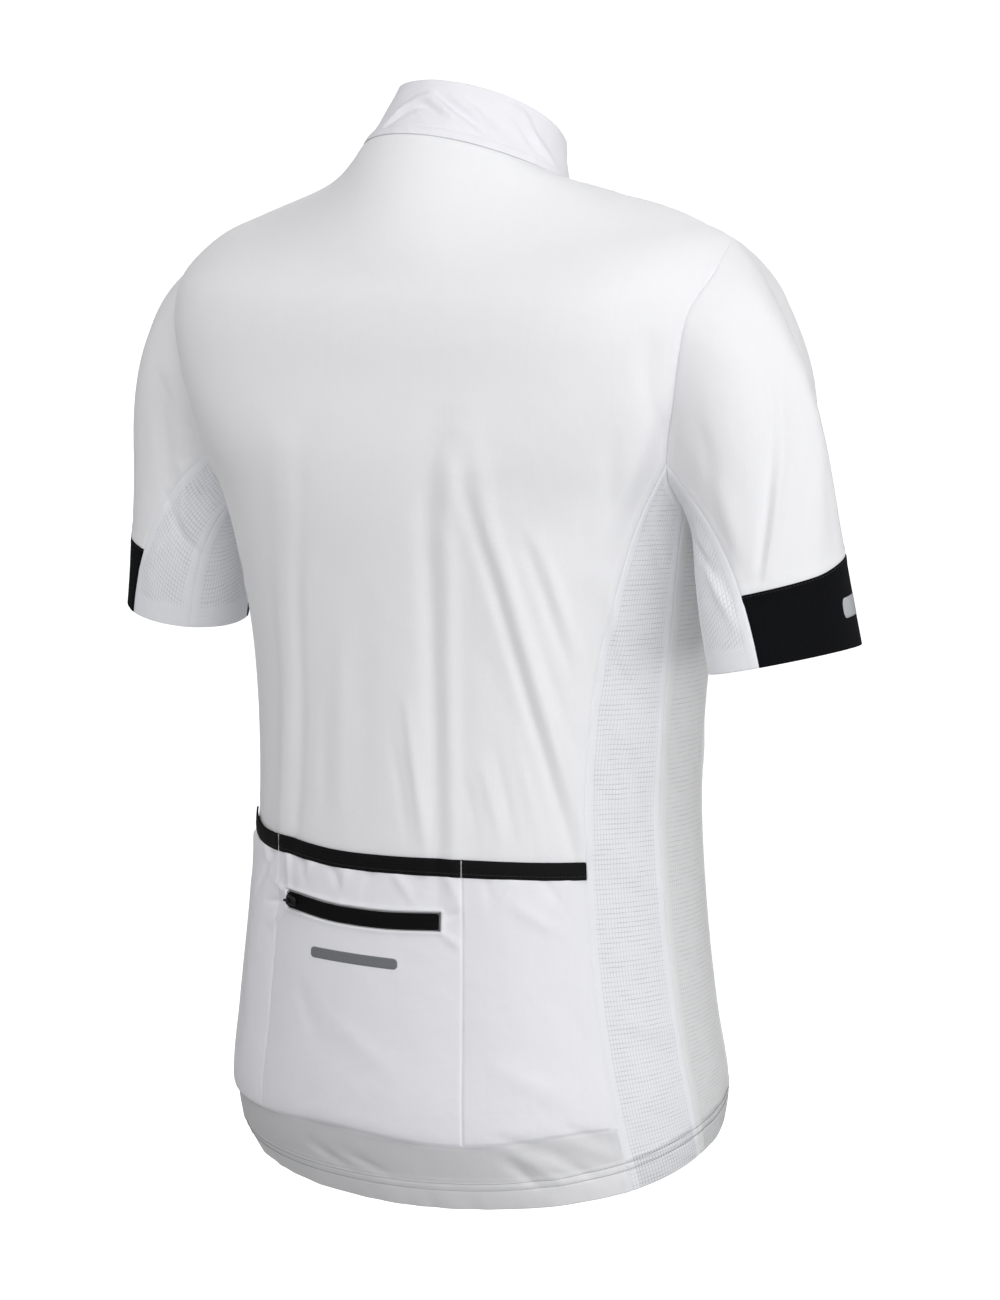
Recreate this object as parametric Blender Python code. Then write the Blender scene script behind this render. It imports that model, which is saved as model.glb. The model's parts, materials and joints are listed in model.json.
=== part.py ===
"""Short-sleeved cycling jersey in its worn shape, hollow, with each sewn piece as its own solid.

Frame: metres, +Z up. The wearer faces -Y and the wearer's left is +X. The origin is the middle of
the wearer's neck at the height of the collar seam on the back, where the shoulders carry the jersey.
"""

import math

import bpy
import numpy as np

MM = 0.001

# Cloth
WALL = 1.2 * MM  # thickness of every cloth wall
SEAM_GAP = 0.3 * MM  # clearance between neighbouring pieces
LIFT = WALL + SEAM_GAP  # how far a piece that lies on a panel stands off it

# The torso, as rings up the body. "up" is the height above the back hem, measured up the centre
# back; the ring's height is given at the back, side and front, and its size by half its width and
# its depths behind and in front of middle_y. "square" squares the ellipse off.
TORSO_COLUMNS = (
    "up", "back_z", "side_z", "front_z", "half_width", "middle_y", "back_depth", "front_depth",
    "square",
)
TORSO_RINGS = {
    "hem": (0.000, -0.711, -0.676, -0.636, 0.1845, 0.000, 0.1185, 0.127, 0.020),
    "tail": (0.051, -0.660, -0.641, -0.618, 0.1850, 0.000, 0.1255, 0.127, 0.020),
    "hip": (0.111, -0.600, -0.592, -0.582, 0.1780, 0.000, 0.1215, 0.121, 0.020),
    "belt": (0.191, -0.520, -0.518, -0.514, 0.1700, 0.000, 0.1165, 0.114, 0.020),
    "waist": (0.281, -0.430, -0.430, -0.430, 0.1655, 0.000, 0.1145, 0.112, 0.020),
    "ribs": (0.366, -0.345, -0.345, -0.345, 0.1715, 0.000, 0.1165, 0.117, 0.020),
    "midriff": (0.421, -0.290, -0.290, -0.290, 0.1810, 0.000, 0.1200, 0.123, 0.025),
    "chest": (0.471, -0.240, -0.241, -0.243, 0.1935, 0.000, 0.1245, 0.128, 0.030),
    "underarm": (0.501, -0.210, -0.209, -0.215, 0.2070, 0.000, 0.1250, 0.126, 0.045),
    "blades": (0.551, -0.160, -0.154, -0.170, 0.2285, 0.000, 0.1200, 0.118, 0.060),
    "yoke": (0.582, -0.130, -0.117, -0.145, 0.2360, 0.000, 0.1180, 0.107, 0.056),
    "deltoid": (0.608, -0.109, -0.089, -0.122, 0.2305, 0.000, 0.1140, 0.096, 0.046),
    "shoulder": (0.629, -0.094, -0.069, -0.105, 0.2130, 0.001, 0.1070, 0.088, 0.018),
    "ridge": (0.655, -0.075, -0.055, -0.088, 0.1790, 0.004, 0.0990, 0.079, -0.030),
    "trapezius": (0.683, -0.045, -0.039, -0.068, 0.1220, 0.008, 0.0860, 0.072, -0.045),
    "neck": (0.718, 0.000, -0.026, -0.048, 0.0730, 0.012, 0.0665, 0.0665, 0.000),
}

# Seams down the torso, as angles round it from the centre back, at heights up the body.
SEAM_COLUMNS = ("up", "back_angle", "side_angle", "front_angle")
SEAM_ROWS = (
    (0.000, 67.0, 93.0, 118.0),
    (0.060, 63.0, 90.0, 117.0),
    (0.150, 59.5, 87.0, 116.0),
    (0.281, 58.5, 85.0, 115.0),
    (0.366, 60.5, 86.0, 115.0),
    (0.440, 65.5, 84.0, 113.0),
    (0.506, 71.0, 82.0, 110.0),
)
SEAM_EASE = 4  # power with which a seam's last stretch turns to its end at the armhole

# The armhole, as a closed curve on the torso. "turn" is the angle round the sleeve from the
# underarm seam, past the back. The sleeve leaves the torso along a mix of the torso's own slope, the
# wearer's side, the way out of the sleeve ("puff") and the arm, and keeps to it for its "handle".
ARMHOLE_COLUMNS = ("turn", "angle", "up", "slope", "out", "puff", "arm", "handle")
ARMHOLE_ROWS = (
    (0.0, 82.0, 0.474, 0.0, 0.35, 0.00, 1.0, 0.030),
    (32.0, 76.0, 0.482, 0.0, 0.45, 0.00, 1.0, 0.032),
    (64.0, 71.0, 0.499, 0.0, 0.60, 0.10, 1.0, 0.036),
    (83.0, 67.5, 0.526, 0.0, 1.00, 0.40, 0.9, 0.050),
    (99.0, 65.2, 0.549, 0.2, 1.00, 0.60, 0.5, 0.066),
    (122.0, 65.0, 0.582, 0.5, 1.00, 0.30, 0.1, 0.080),
    (146.0, 74.0, 0.606, 0.6, 0.90, 0.25, 0.0, 0.084),
    (172.0, 92.0, 0.629, 1.0, 0.10, 0.05, 0.0, 0.074),
    (205.0, 110.0, 0.610, 0.8, 0.10, 0.00, 0.3, 0.064),
    (236.0, 118.0, 0.577, 0.4, 0.50, 0.20, 0.6, 0.056),
    (266.0, 117.0, 0.529, 0.1, 0.90, 0.30, 0.9, 0.045),
    (288.0, 110.0, 0.497, 0.0, 0.60, 0.10, 1.0, 0.036),
    (324.0, 96.0, 0.478, 0.0, 0.45, 0.00, 1.0, 0.032),
    (360.0, 82.0, 0.474, 0.0, 0.35, 0.00, 1.0, 0.030),
)
BACK_APEX, SHOULDER_TURN, FRONT_APEX = 64.0, 172.0, 288.0

# The arm inside the left sleeve
CUFF_MIDDLE = (0.2655, 0.008, -0.336)
ARM_OUTWARD, ARM_FORWARD = math.radians(11.0), math.radians(4.3)
CUFF_LONG, CUFF_SHORT = 0.0505, 0.0435  # half sizes of the cuff opening
CUFF_LONG_TURN = math.radians(50.0)  # the long way points forward of straight outward by this much
UNDERARM_TURNED_BACK = math.radians(45.0)  # how far the underarm seam sits from straight back, inward
CUFF_HANDLE = 0.090
BAND_COLUMNS = ("turn", "height")
BAND_ROWS = (
    (0.0, 0.048),
    (64.0, 0.047),
    (120.0, 0.050),
    (172.0, 0.060),
    (236.0, 0.060),
    (288.0, 0.052),
    (360.0, 0.048),
)

# Collar, as rings in the torso's columns; "up" is the share of the way from its seam to its top
COLLAR_RINGS = {
    "seam": (0.000, *TORSO_RINGS["neck"][1:]),
    "middle": (0.500, 0.018, -0.008, -0.034, 0.0650, 0.004, 0.0600, 0.0590, 0.0),
    "top": (1.000, 0.036, 0.010, -0.020, 0.0590, -0.003, 0.0550, 0.0545, 0.0),
}

# The back pocket piece and what is sewn on it, as heights up the body
POCKET_BOTTOM, POCKET_TOP = 0.043, 0.2245
TRIM_TOP = POCKET_TOP + 0.010
POCKET_ZIP_BOTTOM, POCKET_ZIP_TOP = 0.186, 0.198
POCKET_ZIP_LEFT, POCKET_ZIP_RIGHT = 25.5, -19.5  # angles of its ends
# How far the pocket's edges and its zip rise above those heights, at angles round the back
POCKET_LINE_COLUMNS = ("angle", "bottom", "zip", "top")
POCKET_LINES = (
    (-68.0, 0.0090, 0.0030, 0.0020),
    (-50.0, 0.0090, 0.0030, 0.0020),
    (-35.0, 0.0045, 0.0030, 0.0020),
    (-20.0, 0.0020, 0.0025, 0.0015),
    (-5.0, 0.0045, 0.0000, 0.0000),
    (8.0, 0.0065, 0.0000, -0.0005),
    (25.0, 0.0040, 0.0035, 0.0025),
    (44.0, 0.0030, 0.0040, 0.0055),
    (51.0, 0.0040, 0.0040, 0.0095),
    (60.0, 0.0050, 0.0040, 0.0140),
)

# Front zip
ZIP_HALF_WIDTH = 6.0 * MM
FRONT_SLIDER_AT = 0.70  # share of the way up the collar
POCKET_SLIDER_IN = 6.5 * MM  # from the left end of the pocket's zip

# Sliders: a flat body with a bridge over it, which carries the ring of the pull tab
SLIDER_WIDE, SLIDER_LONG, SLIDER_THICK = 7.0 * MM, 8.0 * MM, 2.2 * MM
BRIDGE_WIDE, BRIDGE_LONG, BRIDGE_BAR = 1.6 * MM, 5.0 * MM, 0.9 * MM
BRIDGE_CLEAR = 2.2 * MM  # height of the window under the bridge
TAB_WIDE, TAB_THICK, TAB_ARM = 5.4 * MM, 1.1 * MM, 1.2 * MM
TAB_WINDOW = 4.2 * MM  # from the tab's axis to the far side of its window
TAB_BEVEL = 1.5 * MM  # length of the cut corners at its free end
SLIDER_NOSE, BRIDGE_TOP, TAB_END = 0.65, 0.72, 0.60  # widths left where these narrow, as shares
FRONT_TAB_LONG, POCKET_TAB_LONG = 17.0 * MM, 9.5 * MM

# Largest folds: a soft ridge from one end to the other, or a trough if its height is negative. On the
# torso "round" is the angle and "along" the height up the body; on a sleeve they are its turn and the
# share of the way down.
FOLD_COLUMNS = ("round_1", "along_1", "round_2", "along_2", "half_width", "height")
FOLD_ENDS, FOLD_TAPER = (0.08, 0.92), 0.5  # shares where its taper stops, and the taper's power
TORSO_FOLDS = {
    "back long": (-21.0, 0.490, -58.0, 0.250, 0.012, 0.0030),
    "back short": (-34.0, 0.470, -56.0, 0.330, 0.010, 0.0020),
    "back upright": (-18.5, 0.460, -23.0, 0.250, 0.012, -0.0020),
    "back left": (14.5, 0.500, 30.0, 0.250, 0.013, 0.0020),
    "right armpit": (-63.0, 0.530, -57.0, 0.430, 0.011, 0.0025),
    "left armpit": (62.0, 0.520, 50.0, 0.430, 0.011, 0.0020),
    "right side": (-62.0, 0.420, -90.0, 0.270, 0.012, 0.0020),
    "left side": (64.0, 0.410, 88.0, 0.280, 0.012, 0.0020),
    "chest right": (-113.0, 0.490, -150.0, 0.400, 0.013, 0.0025),
    "chest left": (112.0, 0.480, 148.0, 0.380, 0.013, 0.0025),
    "belly right": (-122.0, 0.300, -164.0, 0.220, 0.014, 0.0020),
    "belly left": (124.0, 0.330, 160.0, 0.240, 0.014, 0.0020),
    "hem left": (68.0, -0.008, 10.0, -0.008, 0.030, -0.0065),
    "hem right": (-50.0, -0.008, -98.0, -0.008, 0.032, 0.0065),
    "right shoulder": (-90.0, 0.645, -92.0, 0.680, 0.022, 0.0035),
}
SLEEVE_FOLDS = {
    "outer": (150.0, 0.35, 120.0, 0.80, 0.010, 0.0025),
    "back": (92.0, 0.15, 100.0, 0.70, 0.010, -0.0020),
    "front": (255.0, 0.20, 235.0, 0.75, 0.010, 0.0020),
}
MEAN_RADIUS, ARM_RADIUS, ARM_LENGTH = 0.150, 0.055, 0.230  # turn a fold's angles into lengths

# Grid steps. Levels are heights up the back seam and the number of steps to the next one.
LEVEL_STEPS = (
    (0.0, 3),
    (POCKET_BOTTOM, 8),
    (POCKET_ZIP_BOTTOM, 1),
    (POCKET_ZIP_TOP, 2),
    (POCKET_TOP, 1),
    (TRIM_TOP, 7),
)
SEAM_STEPS = sum(steps for _, steps in LEVEL_STEPS)
LEVEL_TOLERANCE = 0.1 * MM
ARMHOLE_STEPS = 9  # from an apex to the shoulder seam
UNDERARM_STEPS = 3  # from an apex to the underarm seam
NECK_STEPS, SHOULDER_STEPS = 6, 5
SLEEVE_STEPS, BAND_STEPS = 8, 2
COLLAR_STEPS = 3

WHITE, MESH_WHITE, BLACK, METAL = "white_knit", "white_mesh", "black_knit", "dark_metal"
MATERIALS = {
    WHITE: ((0.86, 0.86, 0.87), 0.75, 0.0),
    MESH_WHITE: ((0.82, 0.85, 0.90), 0.80, 0.0),
    BLACK: ((0.012, 0.012, 0.014), 0.70, 0.0),
    METAL: ((0.10, 0.10, 0.11), 0.35, 1.0),
}
SIDES = (("left", np.array([1.0, 1.0, 1.0])), ("right", np.array([-1.0, 1.0, 1.0])))


def column(rows, names, name):
    return np.array([row[names.index(name)] for row in rows], float)


def smooth(knots, values, at):
    """A smooth curve through the rows of a table: a cubic with Catmull-Rom slopes."""
    knots, values, at = np.asarray(knots, float), np.asarray(values, float), np.asarray(at, float)
    steps = np.diff(knots)
    rises = np.diff(values) / steps
    slopes = np.empty_like(values)
    slopes[1:-1] = (rises[:-1] * steps[1:] + rises[1:] * steps[:-1]) / (steps[1:] + steps[:-1])
    slopes[0], slopes[-1] = rises[0], rises[-1]
    i = np.clip(np.searchsorted(knots, at, side="right") - 1, 0, len(steps) - 1)
    t = np.clip((at - knots[i]) / steps[i], 0.0, 1.0)
    return (
        values[i] * (1 + 2 * t) * (1 - t) ** 2
        + slopes[i] * steps[i] * t * (1 - t) ** 2
        + values[i + 1] * t * t * (3 - 2 * t)
        + slopes[i + 1] * steps[i] * t * t * (t - 1)
    )


def ring_value(name, up, rings=TORSO_RINGS):
    rows = tuple(rings.values())
    return smooth(column(rows, TORSO_COLUMNS, "up"), column(rows, TORSO_COLUMNS, name), up)


def torso(angle, up, rings=TORSO_RINGS):
    """Points of the torso's outer surface. The angle is in radians from the centre back towards
    the wearer's left, and up is the height above the back hem."""
    angle, up = np.broadcast_arrays(np.asarray(angle, float), np.asarray(up, float))
    sine, cosine = np.sin(angle), np.cos(angle)
    square = ring_value("square", up, rings)
    across = (sine + square * np.sin(3 * angle)) / (1 - square)
    along = (cosine - square * np.cos(3 * angle)) / (1 - square)
    depth = np.where(cosine > 0, ring_value("back_depth", up, rings), ring_value("front_depth", up, rings))
    back_z, side_z, front_z = (ring_value(f"{part}_z", up, rings) for part in ("back", "side", "front"))
    tilt, arch = (back_z - front_z) / 2, (back_z + front_z) / 2 - side_z
    return np.stack(
        [
            ring_value("half_width", up, rings) * across,
            ring_value("middle_y", up, rings) + depth * along,
            side_z + tilt * cosine + arch * cosine**2,
        ],
        axis=-1,
    )


def unit(vectors):
    return vectors / np.maximum(np.linalg.norm(vectors, axis=-1, keepdims=True), 1e-12)


def torso_normal(angle, up, step=1e-4):
    up = np.asarray(up, float)
    top = TORSO_RINGS["neck"][0]
    above, below = np.minimum(up + step, top), np.maximum(up - step, 0.0)
    round_it = torso(np.asarray(angle) + step, up) - torso(np.asarray(angle) - step, up)
    rising = torso(angle, above) - torso(angle, below)
    return unit(np.cross(rising, round_it))


def seam_angle(name, up):
    degrees = smooth(column(SEAM_ROWS, SEAM_COLUMNS, "up"), column(SEAM_ROWS, SEAM_COLUMNS, name), up)
    return np.radians(degrees)


def armhole_value(name, turn):
    """A column of the armhole's table, which closes on itself, at any turn in degrees."""
    turns = column(ARMHOLE_ROWS, ARMHOLE_COLUMNS, "turn")
    values = column(ARMHOLE_ROWS, ARMHOLE_COLUMNS, name)
    turns = np.concatenate([turns[:-1] - 360, turns, turns[1:] + 360])
    values = np.concatenate([values[:-1], values, values[1:]])
    return smooth(turns, values, turn)


def armhole(turn):
    """(angle, up) of the armhole seam on the torso."""
    return np.stack([np.radians(armhole_value("angle", turn)), armhole_value("up", turn)], axis=-1)


def fold_height(rows, place, scale):
    """The folds' height at places, whose two coordinates turn into lengths by the scale."""
    total = np.zeros(place.shape[:-1])
    for row in rows:
        fold = dict(zip(FOLD_COLUMNS, row))
        start, end = (np.array([fold[f"round_{k}"], fold[f"along_{k}"]]) * scale for k in (1, 2))
        run = end - start
        share = np.clip(((place * scale - start) @ run) / (run @ run), 0, 1)
        off = np.linalg.norm(place * scale - start - share[..., None] * run, axis=-1)
        taper = np.sin(np.pi * np.clip(share, *FOLD_ENDS)) ** FOLD_TAPER
        total += fold["height"] * np.exp(-((off / fold["half_width"]) ** 2)) * taper
    return total


def cloth(angle, up):
    """Points and normals of the torso's cloth, with its folds."""
    angle, up = np.broadcast_arrays(np.asarray(angle, float), np.asarray(up, float))
    normals = torso_normal(angle, up)
    place = np.stack([np.degrees(angle), up], axis=-1)
    scale = np.array([math.radians(MEAN_RADIUS), 1.0])
    raised = fold_height(TORSO_FOLDS.values(), place, scale)
    return torso(angle, up) + raised[..., None] * normals, normals


# ---------------------------------------------------------------- lines and grids on the torso


def line(start, end, steps):
    """Evenly spaced (angle, up) points from one point to another."""
    return np.linspace(start, end, steps + 1)


def joined(*lines):
    """Lines end to end, with each shared point once."""
    return np.concatenate([lines[0]] + [part[1:] for part in lines[1:]])


def levels(top):
    """Heights of the grid's rows up a seam that ends at a height."""
    apex = armhole(BACK_APEX)[1]
    bounds = [level for level, _ in LEVEL_STEPS] + [apex]
    steps = [count for _, count in LEVEL_STEPS]
    rows = joined(*(np.linspace(low, high, count + 1) for low, high, count in zip(bounds, bounds[1:], steps)))
    return rows * top / apex


def seam_line(name, end):
    """A seam from the hem up to its end at the armhole."""
    rise = levels(end[1])
    angles = seam_angle(name, rise)
    angles += (end[0] - angles[-1]) * (rise / end[1]) ** SEAM_EASE
    return np.stack([angles, rise], axis=1)


def armhole_line(start, end, steps):
    return armhole(np.linspace(start, end, steps + 1))


def patch(bottom, top, left, right):
    """The grid between four border lines. Its rows run from the bottom line to the top one, straight
    across as far as the seams reach, and then bend over to the top line."""
    across = np.linspace(0, 1, len(bottom))[None, :, None]
    along = np.linspace(0, 1, len(left))[:, None, None]
    steps = len(left) - 1
    bend = np.clip((steps * along - SEAM_STEPS) / (steps - SEAM_STEPS), 0, 1) ** 3
    straight = (1 - across) * left[:, None] + across * right[:, None]
    over = top[None] - (1 - across) * top[0] - across * top[-1]
    return straight + bend * over


def strip(bottom, top, left, right):
    """The grid between four border lines, each of which bends the whole of it."""
    across = np.linspace(0, 1, len(bottom))[None, :, None]
    along = np.linspace(0, 1, len(left))[:, None, None]
    straight = (1 - across) * left[:, None] + across * right[:, None]
    low = bottom[None] - (1 - across) * bottom[0] - across * bottom[-1]
    high = top[None] - (1 - across) * top[0] - across * top[-1]
    return straight + (1 - along) * low + along * high


def front_edge(up, rings=TORSO_RINGS, half_gap=ZIP_HALF_WIDTH + SEAM_GAP):
    """Angle of the front's edge beside the zip."""
    square = ring_value("square", up, rings)
    squared_width = ring_value("half_width", up, rings) * (1 + 3 * square) / (1 - square)
    return math.pi - np.arcsin(half_gap / squared_width)


def torso_grids():
    """(angle, up) grids of the panels of the left half, and of the back's left half."""
    neck_up = TORSO_RINGS["neck"][0]
    underarm, shoulder = armhole(0.0), armhole(SHOULDER_TURN)
    back_seam = seam_line("back_angle", armhole(BACK_APEX))
    side_seam = seam_line("side_angle", underarm)
    front_seam = seam_line("front_angle", armhole(FRONT_APEX))
    shoulder_seam = line((shoulder[0], neck_up), shoulder, SHOULDER_STEPS)
    rise = joined(back_seam[:, 1], np.linspace(back_seam[-1, 1], neck_up, ARMHOLE_STEPS + 1))
    centre_back = np.stack([0 * rise, rise], axis=1)
    centre_front = np.stack([front_edge(rise), rise], axis=1)
    steps = NECK_STEPS + SHOULDER_STEPS
    grids = {}
    for name, centre, seam, apex in (
        ("back", centre_back, back_seam, BACK_APEX),
        ("front", centre_front, front_seam, FRONT_APEX),
    ):
        neck = line(centre[-1], (shoulder[0], neck_up), NECK_STEPS)
        side = joined(seam, armhole_line(apex, SHOULDER_TURN, ARMHOLE_STEPS))
        grids[name] = patch(line(centre[0], seam[0], steps), joined(neck, shoulder_seam), centre, side)
    for name, first, last, start, end in (
        ("side_back", back_seam, side_seam, BACK_APEX, 0.0),
        ("side_front", side_seam, front_seam, 360.0, FRONT_APEX),
    ):
        hem = line(first[0], last[0], UNDERARM_STEPS)
        grids[name] = strip(hem, armhole_line(start, end, UNDERARM_STEPS), first, last)
    return grids


def across_seam(points, normals):
    """At each point of a seam, the direction across it that lies in the cloth."""
    return unit(np.cross(normals, np.gradient(points, axis=0)))


def drawn_in(points, normals, edges):
    """The grid with the named edges moved in by half the clearance of a seam."""
    made = points.copy()
    places = {
        "bottom": (np.s_[0, :], np.s_[1, :]),
        "top": (np.s_[-1, :], np.s_[-2, :]),
        "left": (np.s_[:, 0], np.s_[:, 1]),
        "right": (np.s_[:, -1], np.s_[:, -2]),
    }
    for edge in edges:
        at, beside = places[edge]
        across = across_seam(points[at], normals[at])
        inward = np.sign(np.sum(across * (points[beside] - points[at]), axis=1, keepdims=True))
        made[at] += SEAM_GAP / 2 * inward * across
    return made


# ---------------------------------------------------------------- solids


def new_object(name, points, faces, material, smooth_angle=40.0, origin=(0.0, 0.0, 0.0)):
    mesh = bpy.data.meshes.new(name)
    mesh.from_pydata([tuple(point) for point in (points - origin).tolist()], [], faces)
    mesh.materials.append(bpy.data.materials[material])
    mesh.shade_smooth()
    mesh.set_sharp_from_angle(angle=math.radians(smooth_angle))
    made = bpy.data.objects.new(name, mesh)
    made.location = origin
    bpy.context.scene.collection.objects.link(made)
    return made


def wall(name, outer, normals, material):
    """A closed cloth wall: the outer grid, the same grid moved in along the normals, and the rim."""
    rows, cols = outer.shape[:2]
    count = rows * cols
    points = np.concatenate([outer.reshape(-1, 3), (outer - normals * WALL).reshape(-1, 3)])
    index = np.arange(count).reshape(rows, cols).tolist()
    faces = []
    for low, high in zip(index, index[1:]):
        for a, b, c, d in zip(low, low[1:], high[1:], high):
            faces.append((a, b, c, d))
            faces.append((a + count, d + count, c + count, b + count))
    rim = index[0] + [row[-1] for row in index[1:-1]] + index[-1][::-1]
    rim += [row[0] for row in index[-2:0:-1]]
    for a, b in zip(rim, rim[1:] + rim[:1]):
        faces.append((b, a, a + count, b + count))
    across, along = outer[:-1, 1:] - outer[:-1, :-1], outer[1:, :-1] - outer[:-1, :-1]
    if np.sum(np.cross(across, along) * normals[:-1, :-1]) < 0:
        faces = [face[::-1] for face in faces]
    return new_object(name, points, faces, material)


def block(name, bands, filled, frame, material, shape):
    """A closed solid of box cells, with its origin at the frame's. Bands are the cells' bounds along
    x, y and z of the frame, filled says which cells are solid, and shape moves the corner points."""
    xs, ys, zs = bands
    corners, faces = {}, []
    sides = (
        ((-1, 0, 0), ((0, 0, 0), (0, 0, 1), (0, 1, 1), (0, 1, 0))),
        ((1, 0, 0), ((1, 0, 0), (1, 1, 0), (1, 1, 1), (1, 0, 1))),
        ((0, -1, 0), ((0, 0, 0), (1, 0, 0), (1, 0, 1), (0, 0, 1))),
        ((0, 1, 0), ((0, 1, 0), (0, 1, 1), (1, 1, 1), (1, 1, 0))),
        ((0, 0, -1), ((0, 0, 0), (0, 1, 0), (1, 1, 0), (1, 0, 0))),
        ((0, 0, 1), ((0, 0, 1), (1, 0, 1), (1, 1, 1), (0, 1, 1))),
    )
    for cell in sorted(filled):
        for step, ring in sides:
            if tuple(a + b for a, b in zip(cell, step)) in filled:
                continue
            keys = [tuple(a + b for a, b in zip(cell, corner)) for corner in ring]
            faces.append(tuple(corners.setdefault(key, len(corners)) for key in keys))
    local = shape(np.array([(xs[i], ys[j], zs[k]) for i, j, k in corners]))
    origin, axes = frame
    return new_object(name, origin + local @ axes, faces, material, smooth_angle=20.0, origin=origin)


def slider(name, frame):
    """Body and bridge in one. In the frame x is across, y the way the tab lies, z out of the cloth."""
    half_wide, half_long = SLIDER_WIDE / 2, SLIDER_LONG / 2
    post, bar_under = BRIDGE_LONG / 2, SLIDER_THICK + BRIDGE_CLEAR
    xs = (-half_wide, -BRIDGE_WIDE / 2, BRIDGE_WIDE / 2, half_wide)
    ys = (-half_long, -post, -post + BRIDGE_BAR, post - BRIDGE_BAR, post, half_long)
    zs = (0.0, SLIDER_THICK, bar_under, bar_under + BRIDGE_BAR)
    filled = {(i, j, 0) for i in range(3) for j in range(5)}
    filled |= {(1, 1, 1), (1, 3, 1), (1, 1, 2), (1, 2, 2), (1, 3, 2)}

    def shape(points):
        """The far end narrows, and the bridge's outer corners slope."""
        made = points.copy()
        made[points[:, 1] == half_long, 0] *= SLIDER_NOSE
        made[points[:, 2] == zs[-1], 1] *= BRIDGE_TOP
        return made

    return block(name, (xs, ys, zs), filled, frame, METAL, shape)


def hinge_frame(frame, axes):
    """Where a slider's frame carries its pull tab: on the tab's axis, under the bridge."""
    origin, (_, _, out) = frame
    return origin + (SLIDER_THICK + BRIDGE_CLEAR / 2) * out, axes


def pull_tab(name, frame, length):
    """A flat tab with a window at its hinge end, whose end bar lies under the slider's bridge. In the
    frame x is its axis, y the way it lies, z out of the cloth."""
    half_wide, half_thick = TAB_WIDE / 2, TAB_THICK / 2
    xs = (-half_wide, -half_wide + TAB_ARM, half_wide - TAB_ARM, half_wide)
    ys = (-half_thick, half_thick, TAB_WINDOW, length - TAB_BEVEL, length)
    zs = (-half_thick, half_thick)
    filled = {(i, j, 0) for i in range(3) for j in range(4)} - {(1, 1, 0)}

    def shape(points):
        """The free end's corners are cut off."""
        made = points.copy()
        made[points[:, 1] == length, 0] *= TAB_END
        return made

    return block(name, (xs, ys, zs), filled, frame, METAL, shape)


# ---------------------------------------------------------------- sleeves

ARM = unit(np.array([math.sin(ARM_OUTWARD), -math.sin(ARM_FORWARD), -math.cos(ARM_OUTWARD)]))
OUTWARD = np.array([1.0, 0.0, 0.0])


def cuff_edge(turns):
    """The left cuff's edge at each turn."""
    forward = unit(np.cross(ARM, OUTWARD))
    outward = np.cross(forward, ARM)
    long_way = math.cos(CUFF_LONG_TURN) * outward + math.sin(CUFF_LONG_TURN) * forward
    short_way = np.cross(ARM, long_way)
    heading = np.radians(turns)[:, None] - UNDERARM_TURNED_BACK - math.pi / 2 - CUFF_LONG_TURN
    return (
        np.array(CUFF_MIDDLE)
        + CUFF_LONG * np.cos(heading) * long_way
        + CUFF_SHORT * np.sin(heading) * short_way
    )


def sleeve_lines(turns, side, count=65):
    """Lines down a sleeve from the armhole to the cuff, one for each turn, with the length at each
    of their points. Both sleeves are worked out on the left; the side is 1 for left, -1 for right."""
    place = armhole(turns)
    flip = np.array([side, 1.0, 1.0])
    start, normal = (part * flip for part in cloth(side * place[:, 0], place[:, 1]))
    end = cuff_edge(turns)
    down_slope = unit(OUTWARD - (normal @ OUTWARD)[:, None] * normal)
    ways = {"slope": down_slope, "out": OUTWARD, "puff": unit(end - CUFF_MIDDLE), "arm": ARM}
    leaving = unit(sum(armhole_value(name, turns)[:, None] * way for name, way in ways.items()))
    handle = armhole_value("handle", turns)[:, None]
    controls = (start, start + handle * leaving, end - CUFF_HANDLE * ARM, end)
    t = np.linspace(0, 1, count)[None, :, None]
    weights = ((1 - t) ** 3, 3 * t * (1 - t) ** 2, 3 * t * t * (1 - t), t**3)
    lines = sum(weight * control[:, None] for weight, control in zip(weights, controls))
    steps = np.linalg.norm(np.diff(lines, axis=1), axis=2)
    return lines, np.concatenate([np.zeros((len(lines), 1)), np.cumsum(steps, axis=1)], axis=1)


def bare_sleeve(turns, reach, side):
    """Points at each turn (columns) and each share of the way down (rows)."""
    lines, lengths = sleeve_lines(turns, side)
    made = np.empty((*reach.shape, 3))
    for j, (way, length) in enumerate(zip(lines, lengths)):
        for axis in range(3):
            made[:, j, axis] = np.interp(reach[:, j] * length[-1], length, way[:, axis])
    return made


def sleeve(turns, reach, side):
    """Points and normals of a sleeve's cloth, with its folds. Its first row, at the armhole, stands
    off the torso's panels, and off their faces too where the cloth folds back under the arm."""
    step, stride = 0.5, 0.01
    round_it = bare_sleeve(turns + step, reach, side) - bare_sleeve(turns - step, reach, side)
    lower, upper = np.minimum(reach + stride, 1), np.maximum(reach - stride, 0)
    down = bare_sleeve(turns, lower, side) - bare_sleeve(turns, upper, side)
    normals = unit(np.cross(round_it, down))
    place = np.stack([np.broadcast_to(turns, reach.shape), reach], axis=-1)
    scale = np.array([math.radians(ARM_RADIUS), ARM_LENGTH])
    raised = fold_height(SLEEVE_FOLDS.values(), place, scale)
    points = bare_sleeve(turns, reach, side) + raised[..., None] * normals
    if reach.max(axis=1)[0] == 0:
        at = armhole(turns)
        panel = cloth(side * at[:, 0], at[:, 1])[1] * (side, 1, 1)
        across = unit(np.cross(normals[0], round_it[0]))
        folded = (1 - np.sum(panel * normals[0], axis=1, keepdims=True)) / 2
        points[0] += SEAM_GAP * (0.5 * across + folded * panel)
    return points, normals


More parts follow.
